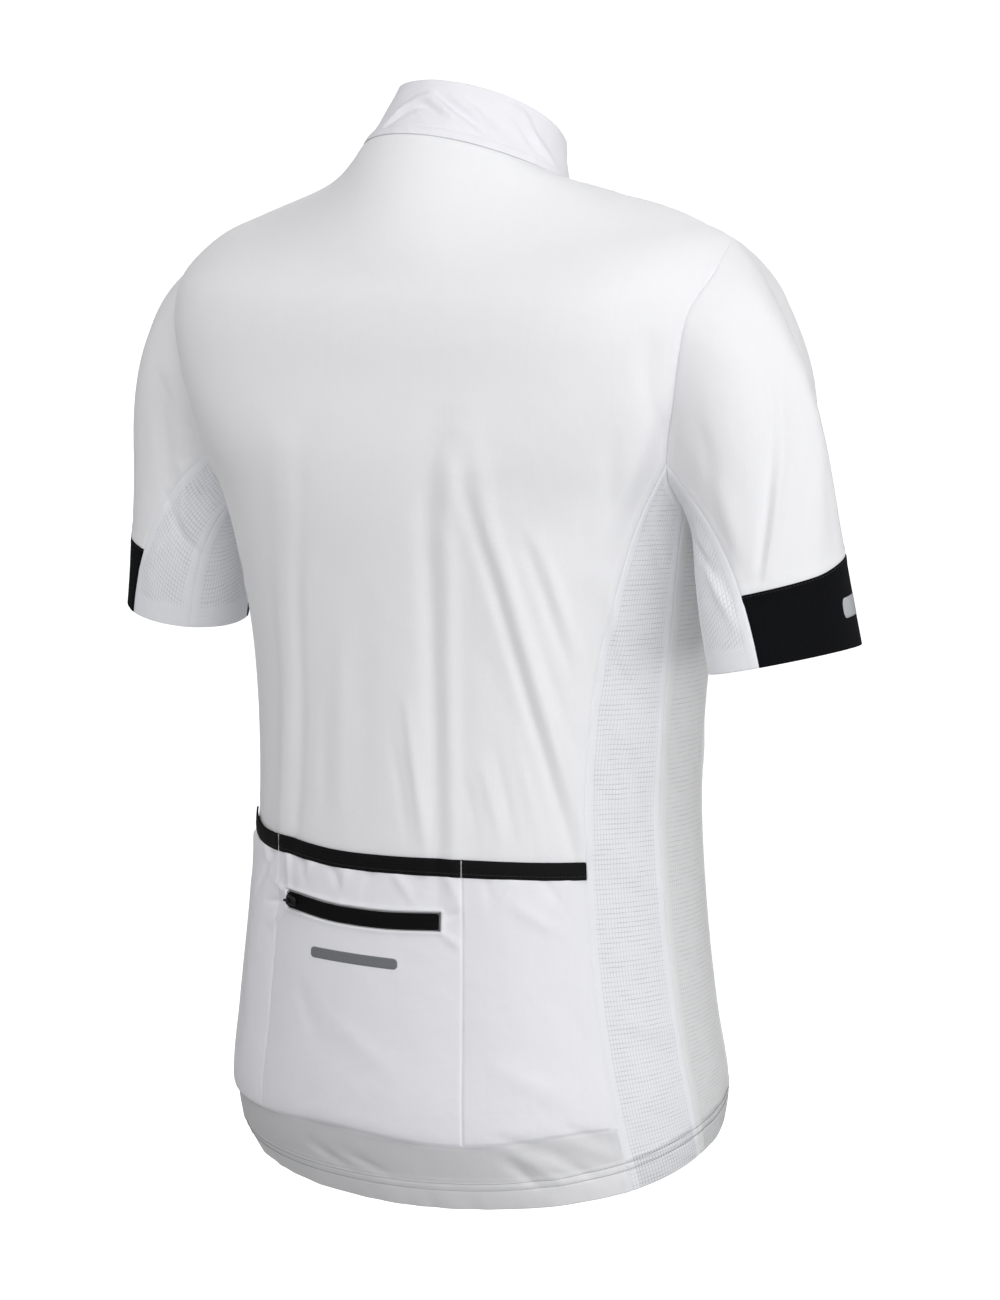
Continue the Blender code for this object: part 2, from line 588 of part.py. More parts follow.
def band_start(turns, side):
    """Where the cuff band starts, as a share of the way down the sleeve."""
    names = BAND_COLUMNS
    height = smooth(column(BAND_ROWS, names, "turn"), column(BAND_ROWS, names, "height"), turns)
    return 1 - height / sleeve_lines(turns, side)[1][:, -1]


def sleeve_pieces(side):
    """Turns, shares of the way down, sewn edges and cloth of each piece of a sleeve."""
    over = joined(
        np.linspace(BACK_APEX, SHOULDER_TURN, ARMHOLE_STEPS + 1),
        np.linspace(SHOULDER_TURN, FRONT_APEX, ARMHOLE_STEPS + 1),
    )
    above = np.linspace(0, 1, SLEEVE_STEPS + 1)[:, None]
    below = np.linspace(0, 1, BAND_STEPS + 1)[:, None]
    start = band_start(over, side)
    yield "sleeve", over, above * start, ("top", "left", "right"), WHITE
    yield "cuff", over, start + below * (1 - start), ("bottom", "left", "right"), BLACK
    for name, first, last in (
        ("undersleeve_back", 0.0, BACK_APEX),
        ("undersleeve_front", FRONT_APEX, 360.0),
    ):
        turns = np.linspace(first, last, UNDERARM_STEPS + 1)
        start = band_start(turns, side)
        reach = joined(above * start, start + below * (1 - start))
        yield name, turns, reach, ("left", "right"), MESH_WHITE


# ---------------------------------------------------------------- collar and front zip


def collar_cloth(angle, share):
    """Points and normals of the collar. Its seam row is cut square to the torso's panels."""
    angle, share = np.broadcast_arrays(np.asarray(angle, float), np.asarray(share, float))
    step = 1e-3
    above, below = np.minimum(share + step, 1), np.maximum(share - step, 0)
    rising = torso(angle, above, COLLAR_RINGS) - torso(angle, below, COLLAR_RINGS)
    round_it = torso(angle + step, share, COLLAR_RINGS) - torso(angle - step, share, COLLAR_RINGS)
    normals = unit(np.cross(rising, round_it))
    normals = np.where(share[..., None] == 0, torso_normal(angle, TORSO_RINGS["neck"][0]), normals)
    return torso(angle, share, COLLAR_RINGS), normals


def collar():
    """Points and normals of the collar's grid, from its right front edge round to its left one."""
    share = np.linspace(0, 1, COLLAR_STEPS + 1)
    tip = armhole(SHOULDER_TURN)[0]
    rows = []
    for edge in front_edge(share, COLLAR_RINGS):
        half = joined(np.linspace(0, tip, NECK_STEPS + 1), np.linspace(tip, edge, NECK_STEPS + 1))
        rows.append(joined(-half[::-1], half))
    points, normals = collar_cloth(np.array(rows), share[:, None])
    return drawn_in(points, normals, ("bottom",)), normals


def front_tape(rise):
    """Points and normals of the front zip's tape: a narrow grid up the front and the collar."""
    share = np.linspace(0, 1, COLLAR_STEPS + 1)[1:]
    body_edge = front_edge(rise, half_gap=ZIP_HALF_WIDTH)
    collar_edge = front_edge(share, COLLAR_RINGS, ZIP_HALF_WIDTH)
    body = cloth(np.stack([-body_edge, body_edge], axis=1), rise[:, None])
    upper = collar_cloth(np.stack([-collar_edge, collar_edge], axis=1), share[:, None])
    return joined(body[0], upper[0]), joined(body[1], upper[1])


# ---------------------------------------------------------------- pocket


def lying_on(points, normals, layers=1):
    """Points moved out to lie on a panel, or on a piece that already lies on it."""
    return points + layers * LIFT * normals


def between_columns(grid, first, last):
    """The grid between two places across it, given as column numbers with fractions."""
    whole = np.arange(math.floor(first) + 1, math.ceil(last))
    at = np.concatenate([[first], whole, [last]])
    low = np.minimum(np.floor(at).astype(int), grid.shape[1] - 2)
    share = (at - low)[None, :, None]
    return grid[:, low] * (1 - share) + grid[:, low + 1] * share


def pocket_rows(grid, low, high):
    """The rows of a grid of (angle, up) that lie from one height to another."""
    heights = grid[:, 0, 1]
    inside = (heights > low - LEVEL_TOLERANCE) & (heights < high + LEVEL_TOLERANCE)
    return grid[inside].copy()


def risen(rows, low, high):
    """Rows of (angle, up) with the pocket's lines added: the lowest row follows one, the highest
    another, and the rest lie between them."""
    degrees, height = np.degrees(rows[..., 0]), rows[..., 1]
    angles = column(POCKET_LINES, POCKET_LINE_COLUMNS, "angle")
    first, last = (
        smooth(angles, column(POCKET_LINES, POCKET_LINE_COLUMNS, name), degrees) for name in (low, high)
    )
    share = (height - height.min()) / np.ptp(height)
    made = rows.copy()
    made[..., 1] += (1 - share) * first + share * last
    return made


def frame_at(points, normals, along_hint):
    """Origin and axes where a slider sits: x across, y the way its tab lies, z out of the cloth."""
    out = unit(normals)
    along = unit(along_hint - (along_hint @ out) * out)
    return points + SEAM_GAP * out, np.stack([np.cross(along, out), along, out])


# ---------------------------------------------------------------- build


def make_materials():
    for name, (colour, roughness, metallic) in MATERIALS.items():
        made = bpy.data.materials.get(name) or bpy.data.materials.new(name)
        made.use_nodes = True
        shader = made.node_tree.nodes["Principled BSDF"]
        shader.inputs["Base Color"].default_value = (*colour, 1.0)
        shader.inputs["Roughness"].default_value = roughness
        shader.inputs["Metallic"].default_value = metallic


def build_torso(grids):
    half = grids["back"]
    whole = np.concatenate([half[:, :0:-1] * (-1, 1), half], axis=1)
    points, normals = cloth(whole[..., 0], whole[..., 1])
    wall("back_panel", drawn_in(points, normals, ("top", "left", "right")), normals, WHITE)
    for side, flip in SIDES:
        for name, edges, material in (
            ("front", ("top", "right"), WHITE),
            ("side_back", ("top", "left", "right"), MESH_WHITE),
            ("side_front", ("top", "left", "right"), MESH_WHITE),
        ):
            grid = grids[name]
            points, normals = cloth(flip[0] * grid[..., 0], grid[..., 1])
            wall(f"{name}_{side}", drawn_in(points, normals, edges), normals, material)
    return whole


def build_sleeves():
    for side, flip in SIDES:
        for name, turns, reach, edges, material in sleeve_pieces(flip[0]):
            points, normals = sleeve(turns, reach, flip[0])
            wall(f"{name}_{side}", drawn_in(points, normals, edges) * flip, normals * flip, material)


def build_pocket(back):
    rows = risen(pocket_rows(back, POCKET_BOTTOM, POCKET_TOP), "bottom", "top")
    points, normals = cloth(rows[..., 0], rows[..., 1])
    points = drawn_in(points, normals, ("top", "left", "right"))
    wall("pocket", lying_on(points, normals), normals, WHITE)

    rows = risen(pocket_rows(back, POCKET_TOP, TRIM_TOP), "top", "top")
    points, normals = cloth(rows[..., 0], rows[..., 1])
    points = drawn_in(points, normals, ("bottom", "left", "right"))
    wall("pocket_trim", lying_on(points, normals), normals, BLACK)

    rows = risen(pocket_rows(back, POCKET_ZIP_BOTTOM, POCKET_ZIP_TOP), "zip", "zip")
    ends = np.radians([POCKET_ZIP_RIGHT, POCKET_ZIP_LEFT])
    first, last = np.interp(ends, rows[0, :, 0], np.arange(rows.shape[1]))
    points, normals = cloth(rows[..., 0], rows[..., 1])
    points, normals = between_columns(points, first, last), unit(between_columns(normals, first, last))
    tape = lying_on(points, normals, layers=2)
    wall("pocket_zip_tape", tape, normals, BLACK)

    middle = tape.mean(axis=0)[::-1]
    way = np.concatenate([[0], np.cumsum(np.linalg.norm(np.diff(middle, axis=0), axis=1))])
    at = np.array([np.interp(POCKET_SLIDER_IN, way, middle[:, axis]) for axis in range(3)])
    beside = np.searchsorted(way, POCKET_SLIDER_IN)
    out = normals[:, ::-1][:, beside - 1 : beside + 1].mean(axis=(0, 1))
    frame = frame_at(at, out, middle[beside] - middle[beside - 1])
    slider("pocket_zip_slider", frame)
    pull_tab("pocket_zip_tab", hinge_frame(frame, frame[1]), POCKET_TAB_LONG)


def build_front_zip(rise):
    points, normals = front_tape(rise)
    wall("front_zip_tape", points, normals, BLACK)
    at, out = (part.mean(axis=0) for part in collar_cloth([-math.pi, math.pi], FRONT_SLIDER_AT))
    below = collar_cloth(math.pi, FRONT_SLIDER_AT - 0.1)[0]
    at = np.array([0.0, at[1], at[2]])
    frame = frame_at(at, out * (0, 1, 1), below - at)
    slider("front_zip_slider", frame)
    hanging = np.array([(-1.0, 0.0, 0.0), (0.0, 0.0, -1.0), (0.0, -1.0, 0.0)])
    pull_tab("front_zip_tab", hinge_frame(frame, hanging), FRONT_TAB_LONG)


def main():
    for made in list(bpy.data.objects):
        bpy.data.objects.remove(made)
    make_materials()
    grids = torso_grids()
    back = build_torso(grids)
    build_sleeves()
    wall("collar", *collar(), WHITE)
    build_pocket(back)
    build_front_zip(grids["front"][:, 0, 1])


main()
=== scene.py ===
"""Looks of the cycling jersey: thin cloth shells with their creases, seams, stitching, zips and finish.

Frame: metres, +Z up. The wearer faces -Y and the wearer's left is +X. The origin is the middle of the
neck at the height of the collar seam on the back. The tables of the shape are those of the part.
"""

import json
import math

import bpy
import numpy as np
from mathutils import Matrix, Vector


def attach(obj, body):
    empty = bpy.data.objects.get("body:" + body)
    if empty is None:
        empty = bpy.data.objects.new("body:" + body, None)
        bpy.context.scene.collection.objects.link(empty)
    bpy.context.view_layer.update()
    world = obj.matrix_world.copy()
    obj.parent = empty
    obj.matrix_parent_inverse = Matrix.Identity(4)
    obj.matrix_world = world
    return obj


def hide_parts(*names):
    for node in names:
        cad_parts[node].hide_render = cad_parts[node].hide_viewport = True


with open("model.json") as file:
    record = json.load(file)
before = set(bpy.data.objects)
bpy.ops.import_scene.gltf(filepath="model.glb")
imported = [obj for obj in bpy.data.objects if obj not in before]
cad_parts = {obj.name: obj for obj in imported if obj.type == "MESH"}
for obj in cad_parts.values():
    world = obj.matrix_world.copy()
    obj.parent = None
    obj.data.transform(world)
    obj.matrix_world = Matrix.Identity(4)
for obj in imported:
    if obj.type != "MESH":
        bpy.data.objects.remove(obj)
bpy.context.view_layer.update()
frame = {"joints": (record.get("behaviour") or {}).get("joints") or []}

MM = 0.001

# ---------------- shape, as in the part

TORSO_COLUMNS = (
    "up", "back_z", "side_z", "front_z", "half_width", "middle_y", "back_depth", "front_depth",
    "square",
)
TORSO_RINGS = (
    (0.000, -0.711, -0.676, -0.636, 0.1845, 0.000, 0.1185, 0.127, 0.020),
    (0.051, -0.660, -0.641, -0.618, 0.1850, 0.000, 0.1255, 0.127, 0.020),
    (0.111, -0.600, -0.592, -0.582, 0.1780, 0.000, 0.1215, 0.121, 0.020),
    (0.191, -0.520, -0.518, -0.514, 0.1700, 0.000, 0.1165, 0.114, 0.020),
    (0.281, -0.430, -0.430, -0.430, 0.1655, 0.000, 0.1145, 0.112, 0.020),
    (0.366, -0.345, -0.345, -0.345, 0.1715, 0.000, 0.1165, 0.117, 0.020),
    (0.421, -0.290, -0.290, -0.290, 0.1810, 0.000, 0.1200, 0.123, 0.025),
    (0.471, -0.240, -0.241, -0.243, 0.1935, 0.000, 0.1245, 0.128, 0.030),
    (0.501, -0.210, -0.209, -0.215, 0.2070, 0.000, 0.1250, 0.126, 0.045),
    (0.551, -0.160, -0.154, -0.170, 0.2285, 0.000, 0.1200, 0.118, 0.060),
    (0.582, -0.130, -0.117, -0.145, 0.2360, 0.000, 0.1180, 0.107, 0.056),
    (0.608, -0.109, -0.089, -0.122, 0.2305, 0.000, 0.1140, 0.096, 0.046),
    (0.629, -0.094, -0.069, -0.105, 0.2130, 0.001, 0.1070, 0.088, 0.018),
    (0.655, -0.075, -0.055, -0.088, 0.1790, 0.004, 0.0990, 0.079, -0.030),
    (0.683, -0.045, -0.039, -0.068, 0.1220, 0.008, 0.0860, 0.072, -0.045),
    (0.718, 0.000, -0.026, -0.048, 0.0730, 0.012, 0.0665, 0.0665, 0.000),
)
NECK_UP = TORSO_RINGS[-1][0]
COLLAR_RINGS = (
    (0.000, *TORSO_RINGS[-1][1:]),
    (0.500, 0.018, -0.008, -0.034, 0.0650, 0.004, 0.0600, 0.0590, 0.0),
    (1.000, 0.036, 0.010, -0.020, 0.0590, -0.003, 0.0550, 0.0545, 0.0),
)
SEAM_COLUMNS = ("up", "back_angle", "side_angle", "front_angle")
SEAM_ROWS = (
    (0.000, 67.0, 93.0, 118.0),
    (0.060, 63.0, 90.0, 117.0),
    (0.150, 59.5, 87.0, 116.0),
    (0.281, 58.5, 85.0, 115.0),
    (0.366, 60.5, 86.0, 115.0),
    (0.440, 65.5, 84.0, 113.0),
    (0.506, 71.0, 82.0, 110.0),
)
ARMHOLE_COLUMNS = ("turn", "angle", "up", "slope", "out", "puff", "arm", "handle")
ARMHOLE_ROWS = (
    (0.0, 82.0, 0.474, 0.0, 0.35, 0.00, 1.0, 0.030),
    (32.0, 76.0, 0.482, 0.0, 0.45, 0.00, 1.0, 0.032),
    (64.0, 71.0, 0.499, 0.0, 0.60, 0.10, 1.0, 0.036),
    (83.0, 67.5, 0.526, 0.0, 1.00, 0.40, 0.9, 0.050),
    (99.0, 65.2, 0.549, 0.2, 1.00, 0.60, 0.5, 0.066),
    (122.0, 65.0, 0.582, 0.5, 1.00, 0.30, 0.1, 0.080),
    (146.0, 74.0, 0.606, 0.6, 0.90, 0.25, 0.0, 0.084),
    (172.0, 92.0, 0.629, 1.0, 0.10, 0.05, 0.0, 0.074),
    (205.0, 110.0, 0.610, 0.8, 0.10, 0.00, 0.3, 0.064),
    (236.0, 118.0, 0.577, 0.4, 0.50, 0.20, 0.6, 0.056),
    (266.0, 117.0, 0.529, 0.1, 0.90, 0.30, 0.9, 0.045),
    (288.0, 110.0, 0.497, 0.0, 0.60, 0.10, 1.0, 0.036),
    (324.0, 96.0, 0.478, 0.0, 0.45, 0.00, 1.0, 0.032),
    (360.0, 82.0, 0.474, 0.0, 0.35, 0.00, 1.0, 0.030),
)
BACK_APEX, SHOULDER_TURN, FRONT_APEX = 64.0, 172.0, 288.0
CUFF_MIDDLE = (0.2655, 0.008, -0.336)
ARM_OUTWARD, ARM_FORWARD = math.radians(11.0), math.radians(4.3)
CUFF_LONG, CUFF_SHORT = 0.0505, 0.0435
CUFF_LONG_TURN, UNDERARM_TURNED_BACK = math.radians(50.0), math.radians(45.0)
CUFF_HANDLE = 0.090
BAND_ROWS = (
    (0.0, 0.048), (64.0, 0.047), (120.0, 0.050), (172.0, 0.060), (236.0, 0.060), (288.0, 0.052),
    (360.0, 0.048),
)
POCKET_BOTTOM, POCKET_TOP, TRIM_TOP = 0.043, 0.2245, 0.2345
# How far the pocket's lines have risen above these levels at an angle.
POCKET_LINE_COLUMNS = ("angle", "bottom", "zip", "top")
POCKET_LINES = (
    (-68.0, 0.0090, 0.0030, 0.0020), (-50.0, 0.0090, 0.0030, 0.0020), (-35.0, 0.0045, 0.0030, 0.0020),
    (-20.0, 0.0020, 0.0025, 0.0015), (-5.0, 0.0045, 0.0000, 0.0000), (8.0, 0.0065, 0.0000, -0.0005),
    (25.0, 0.0040, 0.0035, 0.0025), (44.0, 0.0030, 0.0040, 0.0055), (51.0, 0.0040, 0.0040, 0.0095),
    (60.0, 0.0050, 0.0040, 0.0140),
)
ZIP_BOTTOM, ZIP_TOP, ZIP_LEFT, ZIP_RIGHT = 0.186, 0.198, 25.5, -19.5
DIVIDERS = (-25.0, 30.5)
ZIP_HALF_WIDTH = 6.0 * MM
FRONT_SLIDER_AT = 0.70

# Folds on the torso, from one (angle, up) to another, with half their width and their height: a
# ridge, or a trough if it is negative.
TORSO_FOLDS = (
    (-21.0, 0.490, -58.0, 0.250, 0.012, 0.0030),
    (-34.0, 0.470, -56.0, 0.330, 0.010, 0.0020),
    (-18.5, 0.460, -23.0, 0.250, 0.012, -0.0020),
    (14.5, 0.500, 30.0, 0.250, 0.013, 0.0020),
    (-63.0, 0.530, -57.0, 0.430, 0.011, 0.0025),
    (62.0, 0.520, 50.0, 0.430, 0.011, 0.0020),
    (-62.0, 0.420, -90.0, 0.270, 0.012, 0.0020),
    (64.0, 0.410, 88.0, 0.280, 0.012, 0.0020),
    (-113.0, 0.490, -150.0, 0.400, 0.013, 0.0025),
    (112.0, 0.480, 148.0, 0.380, 0.013, 0.0025),
    (-122.0, 0.300, -164.0, 0.220, 0.014, 0.0020),
    (124.0, 0.330, 160.0, 0.240, 0.014, 0.0020),
    (68.0, -0.008, 10.0, -0.008, 0.030, -0.0065),
    (-50.0, -0.008, -98.0, -0.008, 0.032, 0.0065),
    (-90.0, 0.645, -92.0, 0.680, 0.022, 0.0035),
)
SLEEVE_FOLDS = (
    (150.0, 0.35, 120.0, 0.80, 0.010, 0.0025),
    (92.0, 0.15, 100.0, 0.70, 0.010, -0.0020),
    (255.0, 0.20, 235.0, 0.75, 0.010, 0.0020),
)
MEAN_RADIUS, ARM_RADIUS, ARM_LENGTH = 0.150, 0.055, 0.230
COLLAR_RADIUS, COLLAR_HIGH = 0.062, 38 * MM

# ---------------- creases that only the cloth has

TORSO_CREASES = (
    # the fan that falls from the right shoulder blade to the right side seam
    (-19.0, 0.514, -56.5, 0.232, 0.0042, -0.0032),
    (-22.0, 0.518, -60.5, 0.240, 0.0050, 0.0027),
    (-36.8, 0.456, -53.0, 0.360, 0.0036, -0.0022),
    (-40.4, 0.456, -56.6, 0.362, 0.0040, 0.0020),
    (-44.0, 0.376, -56.0, 0.306, 0.0030, -0.0008),
    (-29.4, 0.306, -35.8, 0.244, 0.0032, 0.0010),
    (-32.6, 0.318, -39.5, 0.244, 0.0030, -0.0009),
    (-25.6, 0.292, -29.4, 0.243, 0.0028, -0.0006),
    (-38.0, 0.322, -46.5, 0.244, 0.0034, 0.0007),
    (-13.0, 0.500, -34.0, 0.400, 0.0090, -0.0008),
    # the broad fold down the middle, steep on its left side, and the finer ones at its foot
    (-19.4, 0.535, -23.2, 0.205, 0.0062, 0.0030),
    (-14.4, 0.530, -18.8, 0.205, 0.0054, -0.0027),
    (-10.2, 0.345, -15.3, 0.242, 0.0036, 0.0017),
    (-6.4, 0.320, -11.0, 0.243, 0.0032, -0.0007),
    (1.0, 0.420, 2.0, 0.250, 0.0080, -0.0007),
    (7.0, 0.390, 8.0, 0.250, 0.0060, 0.0006),
    (12.5, 0.340, 14.0, 0.245, 0.0050, -0.0006),
    # the light fold down the left
    (10.0, 0.530, 23.0, 0.350, 0.0066, -0.0013),
    (18.5, 0.430, 25.2, 0.210, 0.0060, -0.0017),
    (17.5, 0.530, 30.0, 0.350, 0.0070, 0.0006),
    (25.5, 0.430, 32.2, 0.210, 0.0066, 0.0010),
    (46.0, 0.440, 51.0, 0.300, 0.0070, 0.0008),
    # small slanting folds in the side panels' mesh
    (-60.5, 0.418, -71.0, 0.364, 0.0046, 0.0012),
    (-60.0, 0.396, -72.5, 0.336, 0.0040, -0.0013),
    (-60.0, 0.372, -74.0, 0.300, 0.0046, 0.0013),
    (-60.5, 0.346, -74.5, 0.272, 0.0040, -0.0012),
    (-61.0, 0.328, -73.0, 0.260, 0.0046, 0.0010),
    (-60.5, 0.300, -70.0, 0.250, 0.0040, -0.0009),
    (60.0, 0.410, 72.0, 0.352, 0.0046, 0.0011),
    (60.5, 0.380, 73.0, 0.318, 0.0042, -0.0012),
    (61.0, 0.340, 72.0, 0.282, 0.0046, 0.0010),
    # beside the armholes
    (-56.5, 0.548, -69.0, 0.508, 0.0052, -0.0020),
    (-54.0, 0.580, -58.5, 0.540, 0.0090, -0.0025),
    (-52.0, 0.520, -60.0, 0.462, 0.0063, -0.0017),
    (55.0, 0.548, 68.0, 0.506, 0.0057, -0.0020),
    (52.0, 0.525, 60.0, 0.468, 0.0067, 0.0017),
    # the hem's drag lines
    (-32.5, 0.0450, -52.0, 0.0260, 0.0040, 0.0015),
    (-31.5, 0.0550, -51.0, 0.0360, 0.0036, -0.0013),
    (-47.5, 0.0515, -64.0, 0.0290, 0.0040, 0.0015),
    (-48.5, 0.0610, -65.0, 0.0380, 0.0036, -0.0013),
    (-33.0, 0.041, -44.0, 0.012, 0.0036, -0.0016),
    (-37.5, 0.042, -50.0, 0.014, 0.0036, 0.0014),
    (-44.0, 0.043, -58.0, 0.015, 0.0040, -0.0018),
    (17.0, 0.036, 3.0, 0.021, 0.0032, -0.0011),
    (6.0, 0.034, -7.0, 0.021, 0.0032, -0.0011),
    (38.0, 0.038, 50.0, 0.016, 0.0036, -0.0011),
    # the mesh sides
    (-61.0, 0.412, -83.0, 0.372, 0.0047, 0.0014),
    (-62.0, 0.376, -82.0, 0.330, 0.0047, -0.0014),
    (-66.0, 0.330, -84.0, 0.282, 0.0047, 0.0012),
    (-70.0, 0.462, -80.0, 0.424, 0.0047, -0.0014),
    (-63.0, 0.250, -82.0, 0.214, 0.0057, 0.0010),
    (-68.0, 0.130, -88.0, 0.108, 0.0057, 0.0010),
    (62.0, 0.402, 84.0, 0.362, 0.0047, 0.0014),
    (64.0, 0.352, 83.0, 0.306, 0.0047, -0.0014),
    (66.0, 0.462, 80.0, 0.430, 0.0047, -0.0014),
    (-88.0, 0.430, -110.0, 0.390, 0.0057, 0.0014),
    (-90.0, 0.330, -112.0, 0.285, 0.0057, -0.0012),
    (88.0, 0.440, 111.0, 0.402, 0.0057, 0.0014),
    (91.0, 0.318, 112.0, 0.276, 0.0057, -0.0012),
    # the fronts
    (-118.0, 0.470, -146.0, 0.404, 0.0062, -0.0017),
    (-120.0, 0.505, -140.0, 0.470, 0.0071, -0.0014),
    (117.0, 0.462, 143.0, 0.386, 0.0062, -0.0017),
    (121.0, 0.500, 142.0, 0.456, 0.0071, 0.0014),
    (-128.0, 0.350, -160.0, 0.300, 0.0076, 0.0014),
    (-124.0, 0.285, -158.0, 0.216, 0.0057, -0.0015),
    (127.0, 0.300, 160.0, 0.212, 0.0062, -0.0015),
    (130.0, 0.372, 158.0, 0.330, 0.0076, 0.0012),
    (-128.0, 0.180, -150.0, 0.060, 0.0085, 0.0014),
    (132.0, 0.190, 150.0, 0.056, 0.0085, 0.0014),
    (-140.0, 0.560, -158.0, 0.640, 0.0095, -0.0014),
    (142.0, 0.552, 158.0, 0.636, 0.0095, -0.0014),
    (-170.0, 0.300, -158.0, 0.270, 0.0057, -0.0015),
    (169.0, 0.410, 157.0, 0.378, 0.0057, -0.0015),
)
# On the sleeves a place is a turn round the armhole and a share of the way down.
RIGHT_SLEEVE_CREASES = (
    (92.0, 0.150, 100.0, 0.700, 0.0100, 0.0020),
    (84.0, 0.220, 79.0, 0.620, 0.0130, 0.0030),
    (121.0, 0.300, 84.0, 0.640, 0.0034, -0.0022),
    (118.0, 0.380, 80.0, 0.690, 0.0032, -0.0018),
    (124.5, 0.330, 86.0, 0.690, 0.0040, 0.0024),
    (140.0, 0.080, 120.0, 0.260, 0.0070, -0.0010),
    (90.0, 0.090, 82.0, 0.300, 0.0040, -0.0010),
    (100.0, 0.500, 92.0, 0.640, 0.0060, -0.0008),
    (83.0, 0.300, 74.0, 0.560, 0.0057, 0.0022),
    (150.0, 0.450, 150.0, 0.740, 0.0076, 0.0013),
    (200.0, 0.300, 190.0, 0.720, 0.0066, -0.0020),
    (262.0, 0.120, 240.0, 0.480, 0.0057, -0.0022),
    (20.0, 0.250, 44.0, 0.520, 0.0047, -0.0024),
    (36.0, 0.480, 52.0, 0.800, 0.0047, 0.0022),
    (330.0, 0.250, 305.0, 0.620, 0.0052, -0.0022),
)
LEFT_SLEEVE_CREASES = (
    (92.0, 0.140, 66.0, 0.400, 0.0057, -0.0032),
    (74.0, 0.110, 30.0, 0.280, 0.0052, -0.0030),
    (66.0, 0.260, 24.0, 0.470, 0.0052, 0.0030),
    (60.0, 0.420, -15.0, 0.600, 0.0052, -0.0030),
    (420.0, 0.420, 345.0, 0.600, 0.0052, -0.0030),
    (40.0, 0.560, 58.0, 0.800, 0.0047, 0.0018),
    (120.0, 0.350, 100.0, 0.760, 0.0066, -0.0020),
    (150.0, 0.250, 138.0, 0.660, 0.0076, 0.0016),
    (200.0, 0.300, 188.0, 0.700, 0.0066, -0.0018),
    (262.0, 0.160, 244.0, 0.500, 0.0057, -0.0020),
    (330.0, 0.200, 308.0, 0.600, 0.0052, -0.0020),
)
# On the collar the second and fourth numbers are shares of its height.
COLLAR_CREASES = (
    (21.5, 0.21, 10.5, 0.50, 0.0024, 0.0014),
    (13.5, 0.45, -1.0, 0.68, 0.0024, 0.0016),
    (2.0, 0.66, -9.0, 0.67, 0.0024, 0.0015),
    (-5.5, 0.69, -24.0, 0.43, 0.0027, 0.0019),
    (-20.0, 0.48, -43.0, 0.20, 0.0026, 0.0016),
    (17.0, 0.20, 7.0, 0.46, 0.0024, -0.0018),
    (9.0, 0.42, -6.0, 0.56, 0.0026, -0.0022),
    (-4.0, 0.55, -20.0, 0.34, 0.0026, -0.0022),
    (3.5, 0.50, -12.0, 0.27, 0.0016, 0.0012),
    (-12.0, 0.74, -46.0, 0.25, 0.0027, -0.0019),
    (-21.0, 0.72, -41.0, 0.50, 0.0026, 0.0019),
    (-36.5, 0.57, -53.5, 0.18, 0.0025, 0.0017),
    (-36.0, 0.76, -62.0, 0.32, 0.0042, -0.0015),
    (-55.0, 0.87, -71.0, 0.74, 0.0030, 0.0014),
    (-66.0, 0.81, -79.0, 0.43, 0.0030, 0.0017),
    (-75.0, 0.52, -93.0, 0.22, 0.0028, 0.0015),
    (-63.0, 0.68, -81.0, 0.26, 0.0036, -0.0015),
    (40.0, 0.30, 62.0, 0.62, 0.0028, -0.0022),
    (47.0, 0.26, 70.0, 0.58, 0.0028, 0.0015),
    (75.0, 0.75, 98.0, 0.28, 0.0028, -0.0020),
    (82.0, 0.78, 105.0, 0.32, 0.0028, 0.0014),
    (118.0, 0.72, 134.0, 0.30, 0.0030, -0.0016),
    (-122.0, 0.74, -140.0, 0.34, 0.0030, -0.0016),
)
# Under the elastic the pocket's cloth is gathered: the angle, how far down it reaches, its height
GATHERS = (
    (52.0, 0.014, 0.0020), (45.5, 0.022, -0.0018), (39.0, 0.016, 0.0016), (33.5, 0.030, -0.0022),
    (26.5, 0.022, 0.0020), (21.0, 0.016, -0.0018), (16.0, 0.024, 0.0018), (10.5, 0.018, -0.0016),
    (5.0, 0.022, 0.0018), (-1.5, 0.016, -0.0016), (-8.0, 0.020, 0.0018), (-15.0, 0.015, -0.0014),
    (-21.5, 0.020, 0.0014), (-31.0, 0.018, -0.0011), (-38.5, 0.022, 0.0014), (-46.0, 0.016, -0.0014),
    (-53.0, 0.022, 0.0014),
)
POCKET_CREASES = (
    (31.0, 0.204, 26.0, 0.198, 0.0027, 0.0016),
    (34.5, 0.190, 27.5, 0.193, 0.0027, -0.0014),
    (33.0, 0.176, 27.0, 0.186, 0.0027, 0.0013),
    (-20.5, 0.186, -24.0, 0.180, 0.0025, 0.0014),
    (-20.5, 0.197, -24.0, 0.203, 0.0025, -0.0013),
    (18.0, 0.135, 12.0, 0.108, 0.0066, -0.0010),
    (6.0, 0.120, -8.0, 0.092, 0.0076, 0.0010),
    (48.0, 0.180, 46.0, 0.080, 0.0076, -0.0013),
    (-38.0, 0.208, -52.0, 0.188, 0.0047, 0.0010),
    (-34.0, 0.100, -50.0, 0.076, 0.0076, 0.0011),
    (-48.0, 0.150, -58.0, 0.110, 0.0076, -0.0010),
)

# ---------------- cloth and sewing

